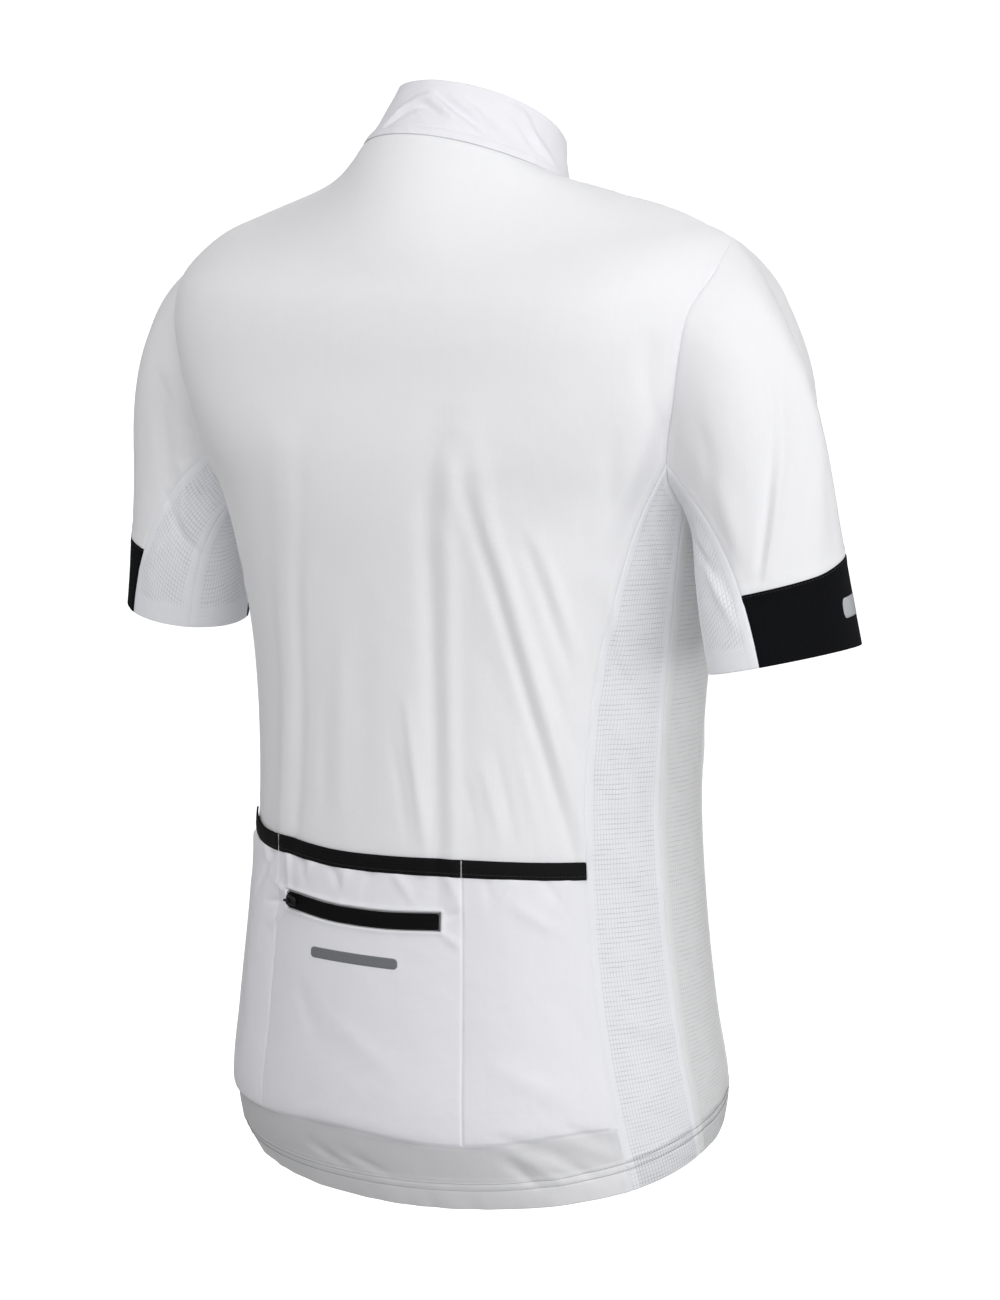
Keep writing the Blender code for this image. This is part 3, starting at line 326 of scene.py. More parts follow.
CLOTH = 0.6 * MM  # thickness of one layer
HEM_FOLD = 0.5 * MM  # how much thicker the folded hem is
HEM_BAND, HEM_ROWS = 21.5 * MM, (14.5 * MM, 19.5 * MM)
HEM_STEP, HEM_STEP_EDGE = 0.25 * MM, 1.2 * MM  # how far the hem's band stands out, and its edge
HEM_DENT, HEM_DENT_WIDE = 0.55 * MM, 0.8 * MM  # of a row of stitches
HEM_WAVE, HEM_WAVE_HIGH = 0.5 * MM, 22 * MM
HEM_TUCK, HEM_TUCK_HIGH = 4.5 * MM, 24.0 * MM  # how far the hem turns in, and from how high up
# The share of that tuck at each angle.
HEM_TUCK_SHARES = ((-180, 0.5), (-110, 0.4), (-65, 0.45), (-35, 1.0), (60, 1.0), (110, 0.5), (180, 0.5))
HEM_GRID_HIGH, HEM_ROW_STEP = 30 * MM, 0.8 * MM  # the grid's rows are closer together over the hem
GRID = 3.0 * MM
# Distances of a grid's lines beside a border, and beside a zip or a divider of the pocket, in mm.
NEAR_SEAM = (0.0, 0.5, 1.1, 2.0, 3.2, 4.6, 5.4, 6.2, 7.2)
NEAR_LINE = (0.0, 0.4, 0.8, 1.3, 2.0, 2.9)
SEAM_DIP, SEAM_DIP_WIDE = 0.15 * MM, 0.6 * MM
ALLOWANCE, ALLOWANCE_AT, ALLOWANCE_WIDE = 0.20 * MM, 3.0 * MM, 2.6 * MM
BAND, BAND_TO, BAND_EDGE = 0.16 * MM, 5.2 * MM, 1.2 * MM  # the raised band's height, width and edge
PUCKER, PUCKER_REACH, PUCKER_FREE = 0.22 * MM, 9.0 * MM, 2.5 * MM  # none right at the seam
STITCH_PITCH, STITCH_LONG, STITCH_THICK = 2.6 * MM, 1.9 * MM, 0.34 * MM
EDGE_ROW = 1.6 * MM  # a row of stitches beside an edge
POCKET_LIFT = 1.4 * MM  # the pocket's outer face above the panel
FULLNESS = (2.0 * MM, 2.2 * MM, 5.0 * MM)  # how far the right, middle and left pocket stand out
SAG, SAG_AT, SAG_WIDE = 0.4 * MM, 7.0 * MM, 6.0 * MM  # the pocket's roll above its bottom seam
DIVIDER_DIPS, DIVIDER_DIP_WIDE = (0.8 * MM, 0.3 * MM), 0.8 * MM
GATHER_WIDE = 2.8 * MM
MESH_ROW, MESH_COLUMN = 3.3 * MM, 2.2 * MM
WALE, COURSE = 1.1 * MM, 0.8 * MM
SLEEVE_HEM_CLOSED = 0.85  # how far the mesh's holes close where the sleeve's hem is doubled
HEM_PAINTED_SHADE_CUT = 0.60  # how much less painted shade the doubled hem gets
PAINTED_SHADE_STRENGTH = 0.27  # how dark the painted shade is on the back's cloth under the pocket
PAINTED_SHADE_FADE = (-62.0, -15.0, 0.60)  # its share at the first angle, growing to 1 at the second one: the painted shade is weaker towards the wearer's right, where the light falls
# A fold's height goes along it as a sine's power, and stays level beyond this share from its ends.
FOLD_ENDS, CREASE_ENDS = (0.08, 0.5), (0.02, 0.6)
SLEEVE_FOLDS_FROM = 0.04  # the share of the way down where the sleeve's folds have their full height

LEFT, RIGHT = 1.0, -1.0
SIDES = (("left", LEFT), ("right", RIGHT))


def column(rows, names, name):
    """One column of a table."""
    return np.array([row[names.index(name)] for row in rows], float)


def smooth(knots, values, at):
    """A smooth curve through the rows of a table: a cubic with Catmull-Rom slopes."""
    knots, values, at = np.asarray(knots, float), np.asarray(values, float), np.asarray(at, float)
    steps = np.diff(knots)
    rises = np.diff(values) / steps
    slopes = np.empty_like(values)
    slopes[1:-1] = (rises[:-1] * steps[1:] + rises[1:] * steps[:-1]) / (steps[1:] + steps[:-1])
    slopes[0], slopes[-1] = rises[0], rises[-1]
    i = np.clip(np.searchsorted(knots, at, side="right") - 1, 0, len(steps) - 1)
    t = np.clip((at - knots[i]) / steps[i], 0.0, 1.0)
    return (
        values[i] * (1 + 2 * t) * (1 - t) ** 2
        + slopes[i] * steps[i] * t * (1 - t) ** 2
        + values[i + 1] * t * t * (3 - 2 * t)
        + slopes[i + 1] * steps[i] * t * t * (t - 1)
    )


def looked_up(rows, names, name, at):
    """A table's column at places between its rows, which its first column gives."""
    return smooth(column(rows, names, names[0]), column(rows, names, name), at)


def eased(share):
    """From 0 to 1 with level ends."""
    share = np.clip(share, 0, 1)
    return share * share * (3 - 2 * share)


def bell(away, wide):
    """1 at no distance, and close to nothing from two widths on."""
    return np.exp(-((away / wide) ** 2))


def pairs(first, second):
    """Two arrays as the last axis of one."""
    return np.stack(np.broadcast_arrays(first, second), axis=-1)


def between(at, knots, rows):
    """Rows of numbers at places between the knots where they are given."""
    return np.stack([np.interp(at, knots, numbers) for numbers in rows.T], axis=-1)


def run_of(points, axis=0):
    """Length along an axis of an array of points, from the first one."""
    steps = np.linalg.norm(np.diff(points, axis=axis), axis=-1)
    return np.insert(np.cumsum(steps, axis=axis), 0, 0.0, axis=axis)


def ring_value(name, up, rings=TORSO_RINGS):
    """A column of the torso's table, or of the collar's."""
    return looked_up(rings, TORSO_COLUMNS, name, up)


def torso(angle, up, rings=TORSO_RINGS):
    """Points of the torso, or of another surface that has the torso's columns."""
    angle, up = np.broadcast_arrays(np.asarray(angle, float), np.asarray(up, float))
    sine, cosine = np.sin(angle), np.cos(angle)
    square = ring_value("square", up, rings)
    across = (sine + square * np.sin(3 * angle)) / (1 - square)
    along = (cosine - square * np.cos(3 * angle)) / (1 - square)
    depth = np.where(cosine > 0, ring_value("back_depth", up, rings), ring_value("front_depth", up, rings))
    back_z, side_z, front_z = (ring_value(f"{part}_z", up, rings) for part in ("back", "side", "front"))
    tilt, arch = (back_z - front_z) / 2, (back_z + front_z) / 2 - side_z
    return np.stack(
        [
            ring_value("half_width", up, rings) * across,
            ring_value("middle_y", up, rings) + depth * along,
            side_z + tilt * cosine + arch * cosine**2,
        ],
        axis=-1,
    )


def unit(vectors):
    """Vectors made 1 long."""
    return vectors / np.maximum(np.linalg.norm(vectors, axis=-1, keepdims=True), 1e-12)


def moved(points, normals, out):
    """Points moved along their normals."""
    return points + np.asarray(out)[..., None] * normals


def surface_normal(angle, up, rings=TORSO_RINGS, step=1e-4):
    """The way out of the smooth surface."""
    up = np.asarray(up, float)
    above, below = np.minimum(up + step, rings[-1][0]), np.maximum(up - step, 0.0)
    round_it = torso(angle + step, up, rings) - torso(angle - step, up, rings)
    rising = torso(angle, above, rings) - torso(angle, below, rings)
    return unit(np.cross(rising, round_it))


def fold_height(rows, place, scale, ends=FOLD_ENDS):
    """The folds' height at places, whose two coordinates turn into lengths by the scale."""
    least, power = ends
    total = np.zeros(place.shape[:-1])
    for first_a, first_b, last_a, last_b, half_width, height in rows:
        start, end = np.array([first_a, first_b]) * scale, np.array([last_a, last_b]) * scale
        run = end - start
        share = np.clip(((place * scale - start) @ run) / (run @ run), 0, 1)
        off = np.linalg.norm(place * scale - start - share[..., None] * run, axis=-1)
        total += height * bell(off, half_width) * np.sin(np.pi * np.clip(share, least, 1 - least)) ** power
    return total


TORSO_SCALE = np.array([math.radians(MEAN_RADIUS), 1.0])


def torso_cloth(angle, up):
    """Points and normals of the torso's cloth, with its folds and creases."""
    angle, up = np.broadcast_arrays(np.asarray(angle, float), np.asarray(up, float))
    normals = surface_normal(angle, up)
    place = pairs(np.degrees(angle), up)
    raised = fold_height(TORSO_FOLDS, place, TORSO_SCALE)
    raised = raised + fold_height(TORSO_CREASES, place, TORSO_SCALE, CREASE_ENDS)
    return moved(torso(angle, up), normals, raised), normals


def collar_cloth(angle, share):
    """Points and normals of the collar, with its creases."""
    angle, share = np.broadcast_arrays(np.asarray(angle, float), np.asarray(share, float))
    normals = surface_normal(angle, share, COLLAR_RINGS, 1e-3)
    scale = np.array([math.radians(COLLAR_RADIUS), COLLAR_HIGH])
    raised = fold_height(COLLAR_CREASES, pairs(np.degrees(angle), share), scale)
    return moved(torso(angle, share, COLLAR_RINGS), normals, raised), normals


def seam_angle(name, up):
    """Where a seam runs at a height, in radians."""
    return np.radians(looked_up(SEAM_ROWS, SEAM_COLUMNS, name, up))


def armhole_value(name, turn):
    """A column of the armhole's table, which closes on itself, at any turn in degrees."""
    turns = column(ARMHOLE_ROWS, ARMHOLE_COLUMNS, "turn")
    values = column(ARMHOLE_ROWS, ARMHOLE_COLUMNS, name)
    turns = np.concatenate([turns[:-1] - 360, turns, turns[1:] + 360])
    values = np.concatenate([values[:-1], values, values[1:]])
    return smooth(turns, values, turn)


def armhole(turn):
    """(angle, up) of the armhole seam on the torso."""
    return pairs(np.radians(armhole_value("angle", turn)), armhole_value("up", turn))


def front_edge(up, rings=TORSO_RINGS, half_gap=ZIP_HALF_WIDTH):
    """Angle of the front's edge beside the zip."""
    square = ring_value("square", up, rings)
    squared_width = ring_value("half_width", up, rings) * (1 + 3 * square) / (1 - square)
    return math.pi - np.arcsin(half_gap / squared_width)


# ---------------- grids


def spaced(length, step=GRID, near=NEAR_SEAM):
    """Shares of a length for a grid's lines: close together beside its ends, then a step apart."""
    edge = np.array(near) * MM / length
    count = max(2, round((1 - 2 * edge[-1]) * length / step))
    middle = np.linspace(edge[-1], 1 - edge[-1], count + 1)
    return np.concatenate([edge[:-1], middle, 1 - edge[-2::-1]])


def joined(*lines):
    """Lines end to end, with each shared point once."""
    return np.concatenate([lines[0]] + [part[1:] for part in lines[1:]])


def in_pieces(lengths, step, near):
    """Grid lines over several lengths in turn: 1.25 is a quarter of the way along the second one."""
    return joined(*(number + spaced(length, step, near) for number, length in enumerate(lengths)))


def line_rise(name, degrees):
    """How far one of the pocket's lines has risen at an angle."""
    return looked_up(POCKET_LINES, POCKET_LINE_COLUMNS, name, degrees)


def with_hem_rows(along, high):
    """Grid lines up a panel of a height, with close ones over the hem."""
    top = HEM_GRID_HIGH / high
    close = np.linspace(0, top, round(HEM_GRID_HIGH / HEM_ROW_STEP) + 1)
    return np.concatenate([close, along[along > top + 1 * MM / high]])


def seam_line(name, end, count=200):
    """A seam from the hem up to its end at the armhole."""
    rise = np.linspace(0, end[1], count + 1)
    angles = seam_angle(name, rise)
    angles += (end[0] - angles[-1]) * (rise / end[1]) ** 4
    return pairs(angles, rise)


def resampled(places, shares, knots=None):
    """Points of an (angle, up) line at shares of its knots, which are its row numbers if not given."""
    knots = np.linspace(0, 1, len(places)) if knots is None else knots
    return between(shares, knots, places)


def coons(bottom, top, left, right, across, along, bend):
    """The (angle, up) grid between four border lines that are given at the shares across and along."""
    s, t = across[None, :, None], along[:, None, None]
    low = bottom[None] - (1 - s) * bottom[0] - s * bottom[-1]
    high = top[None] - (1 - s) * top[0] - s * top[-1]
    weight = bend(t)
    return (1 - s) * left[:, None] + s * right[:, None] + (1 - weight) * low + weight * high


TALL_STEPS, TALL_ROWS_ABOVE = (1.9 * MM, 3.8 * MM), 56  # across and up; rows beside the armhole
TALL_RADIUS = 0.5 * (ring_value("half_width", 0.3) + 0.114)  # turns a panel's angles into its width
NECK_PAST_APEX = 1.02  # the rows beside the armhole start at this share of the apex's height
NECK_TIP = 0.54  # how far along the top border the collar's seam ends and the shoulder seam begins
SIDE_WIDE, SIDE_HIGH, SIDE_STEP = 0.075, 0.49, 3.2 * MM


def tall_grid(seam, apex_turn, middle_angle):
    """Half of the back, or a front: from its centre line to a seam and the armhole above it."""
    shoulder = armhole(SHOULDER_TURN)
    apex_up = seam[-1, 1]
    hole = armhole(np.linspace(apex_turn, SHOULDER_TURN, 120))
    split = apex_up / NECK_UP * NECK_PAST_APEX
    lower = spaced(apex_up, TALL_STEPS[1])[:-2] * split
    along = joined(lower, np.linspace(split * 0.985, 1.0, TALL_ROWS_ABOVE)[1:])
    near_neck = 1 - np.array(NEAR_SEAM) * MM / NECK_UP
    along = np.unique(np.concatenate([along[along < near_neck[-1] - 1 * MM], near_neck]))
    along = with_hem_rows(along, NECK_UP / NECK_PAST_APEX)
    knots = np.concatenate([np.linspace(0, split, len(seam)), np.linspace(split, 1, len(hole))[1:]])
    side = resampled(np.concatenate([seam, hole[1:]]), along, knots)
    rise = np.interp(along, [0, split, 1], [0, apex_up, NECK_UP])
    middle = pairs(front_edge(rise) if middle_angle else np.zeros_like(rise), rise)
    across = spaced(TALL_RADIUS * abs(seam[:, 0].mean() - middle_angle), TALL_STEPS[0])
    top = np.array([middle[-1], (shoulder[0], NECK_UP), shoulder])
    top = resampled(top, across, np.array([0, NECK_TIP, 1.0]))
    bottom = resampled(np.array([middle[0], seam[0]]), across)

    def bend(t):
        return np.clip((t - split) / (1 - split), 0, 1) ** 2.5

    return coons(bottom, top, middle, side, across, along, bend)


def side_grid(first, last, start, end):
    """A side panel between two seams, under the armhole's curve from one turn to another."""
    along, across = with_hem_rows(spaced(SIDE_HIGH), SIDE_HIGH), spaced(SIDE_WIDE, SIDE_STEP)
    hole = resampled(armhole(np.linspace(start, end, 60)), across)
    hem = resampled(np.array([first[0], last[0]]), across)
    left, right = resampled(first, along), resampled(last, along)
    return coons(hem, hole, left, right, across, along, lambda t: t)


# ---------------- marks of sewing


def uneven(run, seed):
    """A wave along a seam, with uneven lengths and heights."""
    # length, height and phase of each wave
    waves = ((11.3 * MM, 1.0, 1.7), (17.9 * MM, 0.8, 2.9), (7.4 * MM, 0.45, 4.3))
    turn = 2 * np.pi * run
    total = sum(high * np.sin(turn / long + phase * (seed + 1.3)) for long, high, phase in waves)
    return total * (0.6 + 0.4 * np.sin(turn / (83 * MM) + seed)) / 1.5


def runs(points):
    """Lengths across each row from its first column, and up each column from the first row."""
    return run_of(points, 1), run_of(points, 0)


def from_edge(points, edge):
    """Each point's distance from an edge of the grid, and its run along that edge."""
    across, along = runs(points)
    return {
        "left": (across, along),
        "right": (across[:, -1:] - across, along),
        "bottom": (along, across),
        "top": (along[-1:] - along, across),
    }[edge]


def sewn(points, normals, edges, seed=0.0, pucker=PUCKER):
    """The grid with the marks that its sewn edges leave: the dip at the seam, the raised band over
    the seam allowance and uneven puckers. Also how much of the allowance lies behind each point."""
    raised, behind = np.zeros(points.shape[:2]), np.zeros(points.shape[:2])
    for number, edge in enumerate(edges):
        away, run = from_edge(points, edge)
        in_band = 1 - eased((away - BAND_TO) / BAND_EDGE)
        raised -= SEAM_DIP * bell(away, SEAM_DIP_WIDE)
        raised += ALLOWANCE * bell(away - ALLOWANCE_AT, ALLOWANCE_WIDE)
        raised += BAND * in_band * eased(away / (1 * MM))
        near = np.exp(-away / PUCKER_REACH) * (1 - bell(away, PUCKER_FREE))
        raised += pucker * near * uneven(run, seed + 2.1 * number)
        behind = np.maximum(behind, in_band)
    return moved(points, normals, raised), behind


def mean_normals(points, like):
    """Normals of a grid, on the same side as those given."""
    made = unit(np.cross(np.gradient(points, axis=1), np.gradient(points, axis=0)))
    return made * np.sign(np.sum(made * like, axis=-1, keepdims=True))


# ---------------- meshes


def new_mesh(name, points, faces, material, uvs=None, values=None, smooth_angle=60.0):
    """An object of a mesh, with the cloth's own lengths as UVs and named values at its points."""
    mesh = bpy.data.meshes.new(name)
    mesh.from_pydata(np.asarray(points, float).tolist(), [], faces)
    if uvs is not None:
        layer = mesh.uv_layers.new(name="cloth")
        index = np.zeros(len(mesh.loops), int)
        mesh.loops.foreach_get("vertex_index", index)
        layer.data.foreach_set("uv", np.asarray(uvs, float)[index].ravel())
    for key, numbers in (values or {}).items():
        attribute = mesh.attributes.new(key, "FLOAT", "POINT")
        attribute.data.foreach_set("value", np.asarray(numbers, float).ravel())
    mesh.materials.append(material)
    mesh.shade_smooth()
    mesh.set_sharp_from_angle(angle=math.radians(smooth_angle))
    made = bpy.data.objects.new(name, mesh)
    bpy.context.scene.collection.objects.link(made)
    return made


def outline(grid):
    """The border of a grid of numbers, as one ring."""
    return np.concatenate([grid[0], grid[1:-1, -1], grid[-1, ::-1], grid[-2:0:-1, 0]])


def shell(name, outer, normals, material, thick=CLOTH, uvs=None, values=None, round_edge=0.35):
    """A closed thin sheet under a grid of points. Its rim is rounded off by a share of its thickness."""
    rows, cols = outer.shape[:2]
    count = rows * cols
    thick = np.broadcast_to(np.asarray(thick, float), (rows, cols))
    inner = outer - thick[..., None] * normals
    index = np.arange(count).reshape(rows, cols)
    ring = outline(index)
    ring_points = outer.reshape(-1, 3)[ring]
    ring_normals = normals.reshape(-1, 3)[ring]
    way = unit(np.roll(ring_points, -1, axis=0) - np.roll(ring_points, 1, axis=0))
    outward = unit(np.cross(way, ring_normals))
    a, b, d = index[:-1, :-1], index[:-1, 1:], index[1:, :-1]
    turn = np.cross(outer[0, 1] - outer[0, 0], outer[1, 0] - outer[0, 0]) @ normals[0, 0]
    if turn < 0:
        outward = -outward
    rim_thick = thick.reshape(-1)[ring][:, None]
    rim = ring_points - 0.5 * rim_thick * ring_normals + round_edge * rim_thick * outward
    quads = np.stack([a, b, index[1:, 1:], d], axis=-1).reshape(-1, 4)
    under = quads[:, ::-1] + count
    rim_index = 2 * count + np.arange(len(ring))
    after, rim_after = np.roll(ring, -1), np.roll(rim_index, -1)
    upper_rim = np.stack([after, ring, rim_index, rim_after], axis=-1)
    lower_rim = np.stack([rim_after, rim_index, ring + count, after + count], axis=-1)
    faces = np.concatenate([quads, under, upper_rim, lower_rim])
    if turn < 0:
        faces = faces[:, ::-1]
    points = np.concatenate([outer.reshape(-1, 3), inner.reshape(-1, 3), rim])
    if uvs is not None:
        flat = uvs.reshape(-1, 2)
        uvs = np.concatenate([flat, flat, flat[ring]])
    flats = {key: numbers.reshape(-1) for key, numbers in (values or {}).items()}
    values = {key: np.concatenate([flat, flat, flat[ring]]) for key, flat in flats.items()}
    return new_mesh(name, points, faces.tolist(), material, uvs, values)


# ---------------- stitches and teeth


def path_frames(points, normals, pitch, start=0.0):
    """Places a pitch apart along a line, with their way, the side and the normal there."""
    run = run_of(points)
    at = np.arange(pitch / 2 + start, run[-1], pitch)
    up = unit(between(at, run, normals))
    way = unit(between(at + pitch / 4, run, points) - between(at - pitch / 4, run, points))
    return between(at, run, points), way, np.cross(up, way), up


def copies(frames, template, slants=0.0):
    """One mesh of a template at every frame. Slants turn the copies in the cloth, in turn."""
    middle, way, side, up = frames
    points, faces = template
    turns = np.resize(np.atleast_1d(slants), len(middle))[:, None]
    heading = np.cos(turns) * way + np.sin(turns) * side
    beside = np.cos(turns) * side - np.sin(turns) * way
    axes = np.stack([heading, beside, up], axis=1)
    placed = middle[:, None] + np.einsum("pk,nkc->npc", points, axes)
    shifts = np.arange(len(middle))[:, None, None] * len(points)
    return placed.reshape(-1, 3), (np.array(faces)[None] + shifts).reshape(-1, 4)


def tube_faces(rings, sides):
    """Faces of a tube from ring to ring of points."""
    faces = []
    for ring in range(rings - 1):
        for k in range(sides):
            a, b = ring * sides + k, ring * sides + (k + 1) % sides
            faces.append((a, b, b + sides, a + sides))
    return faces


def capsule(long, thick, sides=5, lift=0.25):
    """A short bowed thread: it comes out of the cloth at one end and goes in at the other."""
    radius = thick / 2
    stations = ((-0.5, 0.35, -0.9), (-0.22, 1.0, lift), (0.22, 1.0, lift), (0.5, 0.35, -0.9))
    around = 2 * np.pi * np.arange(sides) / sides
    points = [
        (at * long, radius * size * math.cos(a), radius * (size * math.sin(a) + high))
        for at, size, high in stations
        for a in around
    ]
    return np.array(points), tube_faces(len(stations), sides)


THREAD = capsule(STITCH_LONG, STITCH_THICK)
HEM_STITCH, HEM_STITCH_PITCH, HEM_STITCH_RISE = capsule(1.15 * MM, 0.55 * MM), 2.0 * MM, 0.22 * MM


def joined_mesh(name, parts, material):
    """One object of several (points, faces)."""
    points, faces, count = [], [], 0
    for some_points, some_faces in parts:
        points.append(some_points)
        faces.append(np.asarray(some_faces) + count)
        count += len(some_points)
    return new_mesh(name, np.concatenate(points), np.concatenate(faces).tolist(), material)


def inset(points, normals, edge, distance):
    """The line in a grid at a distance from one of its edges, with its normals."""
    away, _ = from_edge(points, edge)
    if edge in ("bottom", "top"):
        points, normals, away = points.swapaxes(0, 1), normals.swapaxes(0, 1), away.T
    if edge in ("right", "top"):
        points, normals, away = points[:, ::-1], normals[:, ::-1], away[:, ::-1]
    long_enough = [row for row in zip(away, points, normals) if row[0][-1] >= distance * 1.5]
    line = np.array([between(distance, far, row) for far, row, _ in long_enough])
    return line, unit(np.array([between(distance, far, up) for far, _, up in long_enough]))


def thread_row(points, normals, pitch=STITCH_PITCH, template=THREAD):
    """A row of stitches along a line."""
    return copies(path_frames(points, normals, pitch), template)


# ---------------- materials


def node(tree, kind, inputs=(), **settings):
    """A shader node, with its settings, and with its inputs given as numbers or other sockets."""
    made = tree.nodes.new(kind)
    for key, value in settings.items():
        setattr(made, key, value)
    for place, value in dict(inputs).items():
        if isinstance(value, bpy.types.NodeSocket):
            tree.links.new(value, made.inputs[place])
        else:
            made.inputs[place].default_value = value
    return made


def maths(tree, operation, *values):
    """What an operation makes of numbers or sockets."""
    return node(tree, "ShaderNodeMath", dict(enumerate(values)), operation=operation).outputs[0]


def times(tree, *values):
    """The product of two values, plus a third one if given."""
    return maths(tree, "MULTIPLY" if len(values) == 2 else "MULTIPLY_ADD", *values)


def stored(tree, name):
    """A value that the mesh keeps at its points."""
    return node(tree, "ShaderNodeAttribute", attribute_name=name).outputs["Fac"]


def finish(name, **sockets):
    """A new material, its tree and its shader, with constants set on the shader's own sockets."""
    material = bpy.data.materials.new(name)
    material.use_nodes = True
    shader = material.node_tree.nodes["Principled BSDF"]
    for key, value in sockets.items():
        shader.inputs[key.replace("_", " ")].default_value = value
    return material, material.node_tree, shader


def cloth_place(tree):
    """The two lengths of the cloth's own grid, in metres."""
    place = node(tree, "ShaderNodeUVMap", uv_map="cloth").outputs[0]
    parts = node(tree, "ShaderNodeSeparateXYZ", {0: place})
    return parts.outputs[0], parts.outputs[1]


def wave(tree, length, period, shift=0.0):
    """A sine along a length, from 0 to 1."""
    turn = times(tree, length, 2 * math.pi / period, shift)
    return times(tree, maths(tree, "SINE", turn), 0.5, 0.5)


def grain(tree, place, scale, detail, roughness):
    """Noise at a place, from 0 to 1."""
    settings = {"Vector": place, "Scale": scale, "Detail": detail, "Roughness": roughness}
    return node(tree, "ShaderNodeTexNoise", settings).outputs[0]


def noise(tree, u, v, across, along, detail=2.0, roughness=0.5):
    """Noise with cells of the given size in metres across and along the cloth."""
    cells = {0: maths(tree, "DIVIDE", u, across), 1: maths(tree, "DIVIDE", v, along)}
    place = node(tree, "ShaderNodeCombineXYZ", cells).outputs[0]
    return grain(tree, place, 1.0, detail, roughness)


def ranged(tree, value, low, high, to_low, to_high):
    """A value turned from one range into another, with level ends."""
    inputs = {0: value, 1: low, 2: high, 3: to_low, 4: to_high}
    return node(tree, "ShaderNodeMapRange", inputs, interpolation_type="SMOOTHSTEP").outputs[0]


def mixed(tree, share, first, second):
    """A colour between two colours."""
    made = node(tree, "ShaderNodeMix", {0: share}, data_type="RGBA")
    for socket, colour in ((made.inputs[6], first), (made.inputs[7], second)):
        if isinstance(colour, bpy.types.NodeSocket):
            tree.links.new(colour, socket)
        else:
            socket.default_value = (*colour, 1.0)
    return made.outputs[2]


def painted(tree, shader, share, first, second):
    """Gives the shader a colour between two colours."""
    tree.links.new(mixed(tree, share, first, second), shader.inputs["Base Color"])


def bumped(tree, shader, height, distance, under=None):
    """A relief on the shader's surface, on top of a second, larger one if given."""
    bump = node(tree, "ShaderNodeBump", {"Height": height, "Distance": distance})
    if under:
        larger = node(tree, "ShaderNodeBump", {"Height": under[0], "Distance": under[1]})
        tree.links.new(larger.outputs[0], bump.inputs["Normal"])
    tree.links.new(bump.outputs[0], shader.inputs["Normal"])


def knit(
    name, colour, dark, wale=WALE, course=COURSE, depth=0.05 * MM, roughness=0.72, sheen=0.25, specular=0.3,
    slack=0.5 * MM,
):
    """Fine plain knit: wales up the cloth, courses across it, faint streaks, uneven tone and painted shade
    from a stored value.
    """
    material, tree, shader = finish(
        name, Roughness=roughness, Sheen_Weight=sheen, Sheen_Roughness=0.45, Specular_IOR_Level=specular
    )
    u, v = cloth_place(tree)
    painted_shade = stored(tree, "painted_shade")
    loops = times(tree, wave(tree, u, wale), wave(tree, v, course))
    ribs = wave(tree, u, wale, 0.8)
    streaks = noise(tree, u, v, 2.2 * MM, 90 * MM, 3.0)
    tone = noise(tree, u, v, 30 * MM, 42 * MM, 2.0)
    height = times(tree, loops, 0.6, times(tree, ribs, 0.4))
    height = times(tree, streaks, 0.5, height)
    share = times(tree, tone, 0.4, times(tree, loops, 0.25))
    base = mixed(tree, times(tree, streaks, 0.5, share), dark, colour)
    # painted shade: the base colour is darkened towards black
    painted(tree, shader, times(tree, painted_shade, PAINTED_SHADE_STRENGTH), base, (0.0, 0.0, 0.0))
    bumped(tree, shader, height, depth, (noise(tree, u, v, 13 * MM, 20 * MM, 1.5), slack))
    return material


def mesh_knit(name, colour, hole):
    """Openwork knit: rows of small slots, closed where a seam allowance lies behind them, and painted shade
    over a doubled hem.
    """
    material, tree, shader = finish(
        name, Roughness=0.78, Sheen_Weight=0.2, Sheen_Roughness=0.5, Specular_IOR_Level=0.3
    )
    u, v = cloth_place(tree)
    behind = stored(tree, "behind")
    wander = noise(tree, u, v, 9 * MM, 9 * MM, 1.0)
    v_bent = times(tree, wander, 0.5 * MM, v)
    doubled = stored(tree, "doubled")
    faint = ranged(tree, noise(tree, u, v, 14 * MM, 9 * MM, 2.0), 0.35, 0.65, 0.35, 1.0)
    row = times(tree, ranged(tree, wave(tree, v_bent, MESH_ROW), 0.88, 1.0, 0.0, 0.8), faint)
    slot = ranged(tree, wave(tree, u, MESH_COLUMN), 0.05, 0.40, 0.30, 1.0)
    upright = ranged(tree, wave(tree, u, MESH_COLUMN, 1.6), 0.84, 1.0, 0.0, 0.45)
    holes = maths(tree, "MAXIMUM", times(tree, row, slot), upright)
    fine = times(tree, wave(tree, u, MESH_COLUMN / 2), wave(tree, v, MESH_ROW / 4))
    open_share = times(tree, behind, -0.90, times(tree, doubled, 0.7, 1.0))
    shown = times(tree, holes, open_share)
    tone = noise(tree, u, v, 26 * MM, 34 * MM, 2.0)
    # painted shade: the doubled hem is darkened where no allowance lies behind it
    in_shade = times(tree, doubled, times(tree, behind, -1.0, 1.0))
    share = times(tree, in_shade, 1.6, times(tree, tone, 0.5))
    base = mixed(tree, maths(tree, "MINIMUM", share, 1.0), colour, [c * 0.87 for c in colour])
    painted(tree, shader, shown, base, hole)
    height = times(tree, shown, -1.0, times(tree, fine, 0.3))
    bumped(tree, shader, height, 0.10 * MM, (noise(tree, u, v, 12 * MM, 15 * MM, 1.5), 0.5 * MM))
    return material


def ribbed(name, colour, light, across, along, depth, roughness):
    """Narrow woven tape or elastic: ribs across it and fine cords along it."""
    material, tree, shader = finish(
        name, Roughness=roughness, Sheen_Weight=0.005, Sheen_Roughness=0.4, Specular_IOR_Level=0.1
    )
    u, v = cloth_place(tree)
    cords = times(tree, wave(tree, v, along), 0.5, 0.5)
    ribs = times(tree, wave(tree, u, across), cords)
    worn = noise(tree, u, v, 5 * MM, 5 * MM, 3.0)
    painted(tree, shader, times(tree, ribs, worn), colour, light)
    bumped(tree, shader, ribs, depth)
    return material


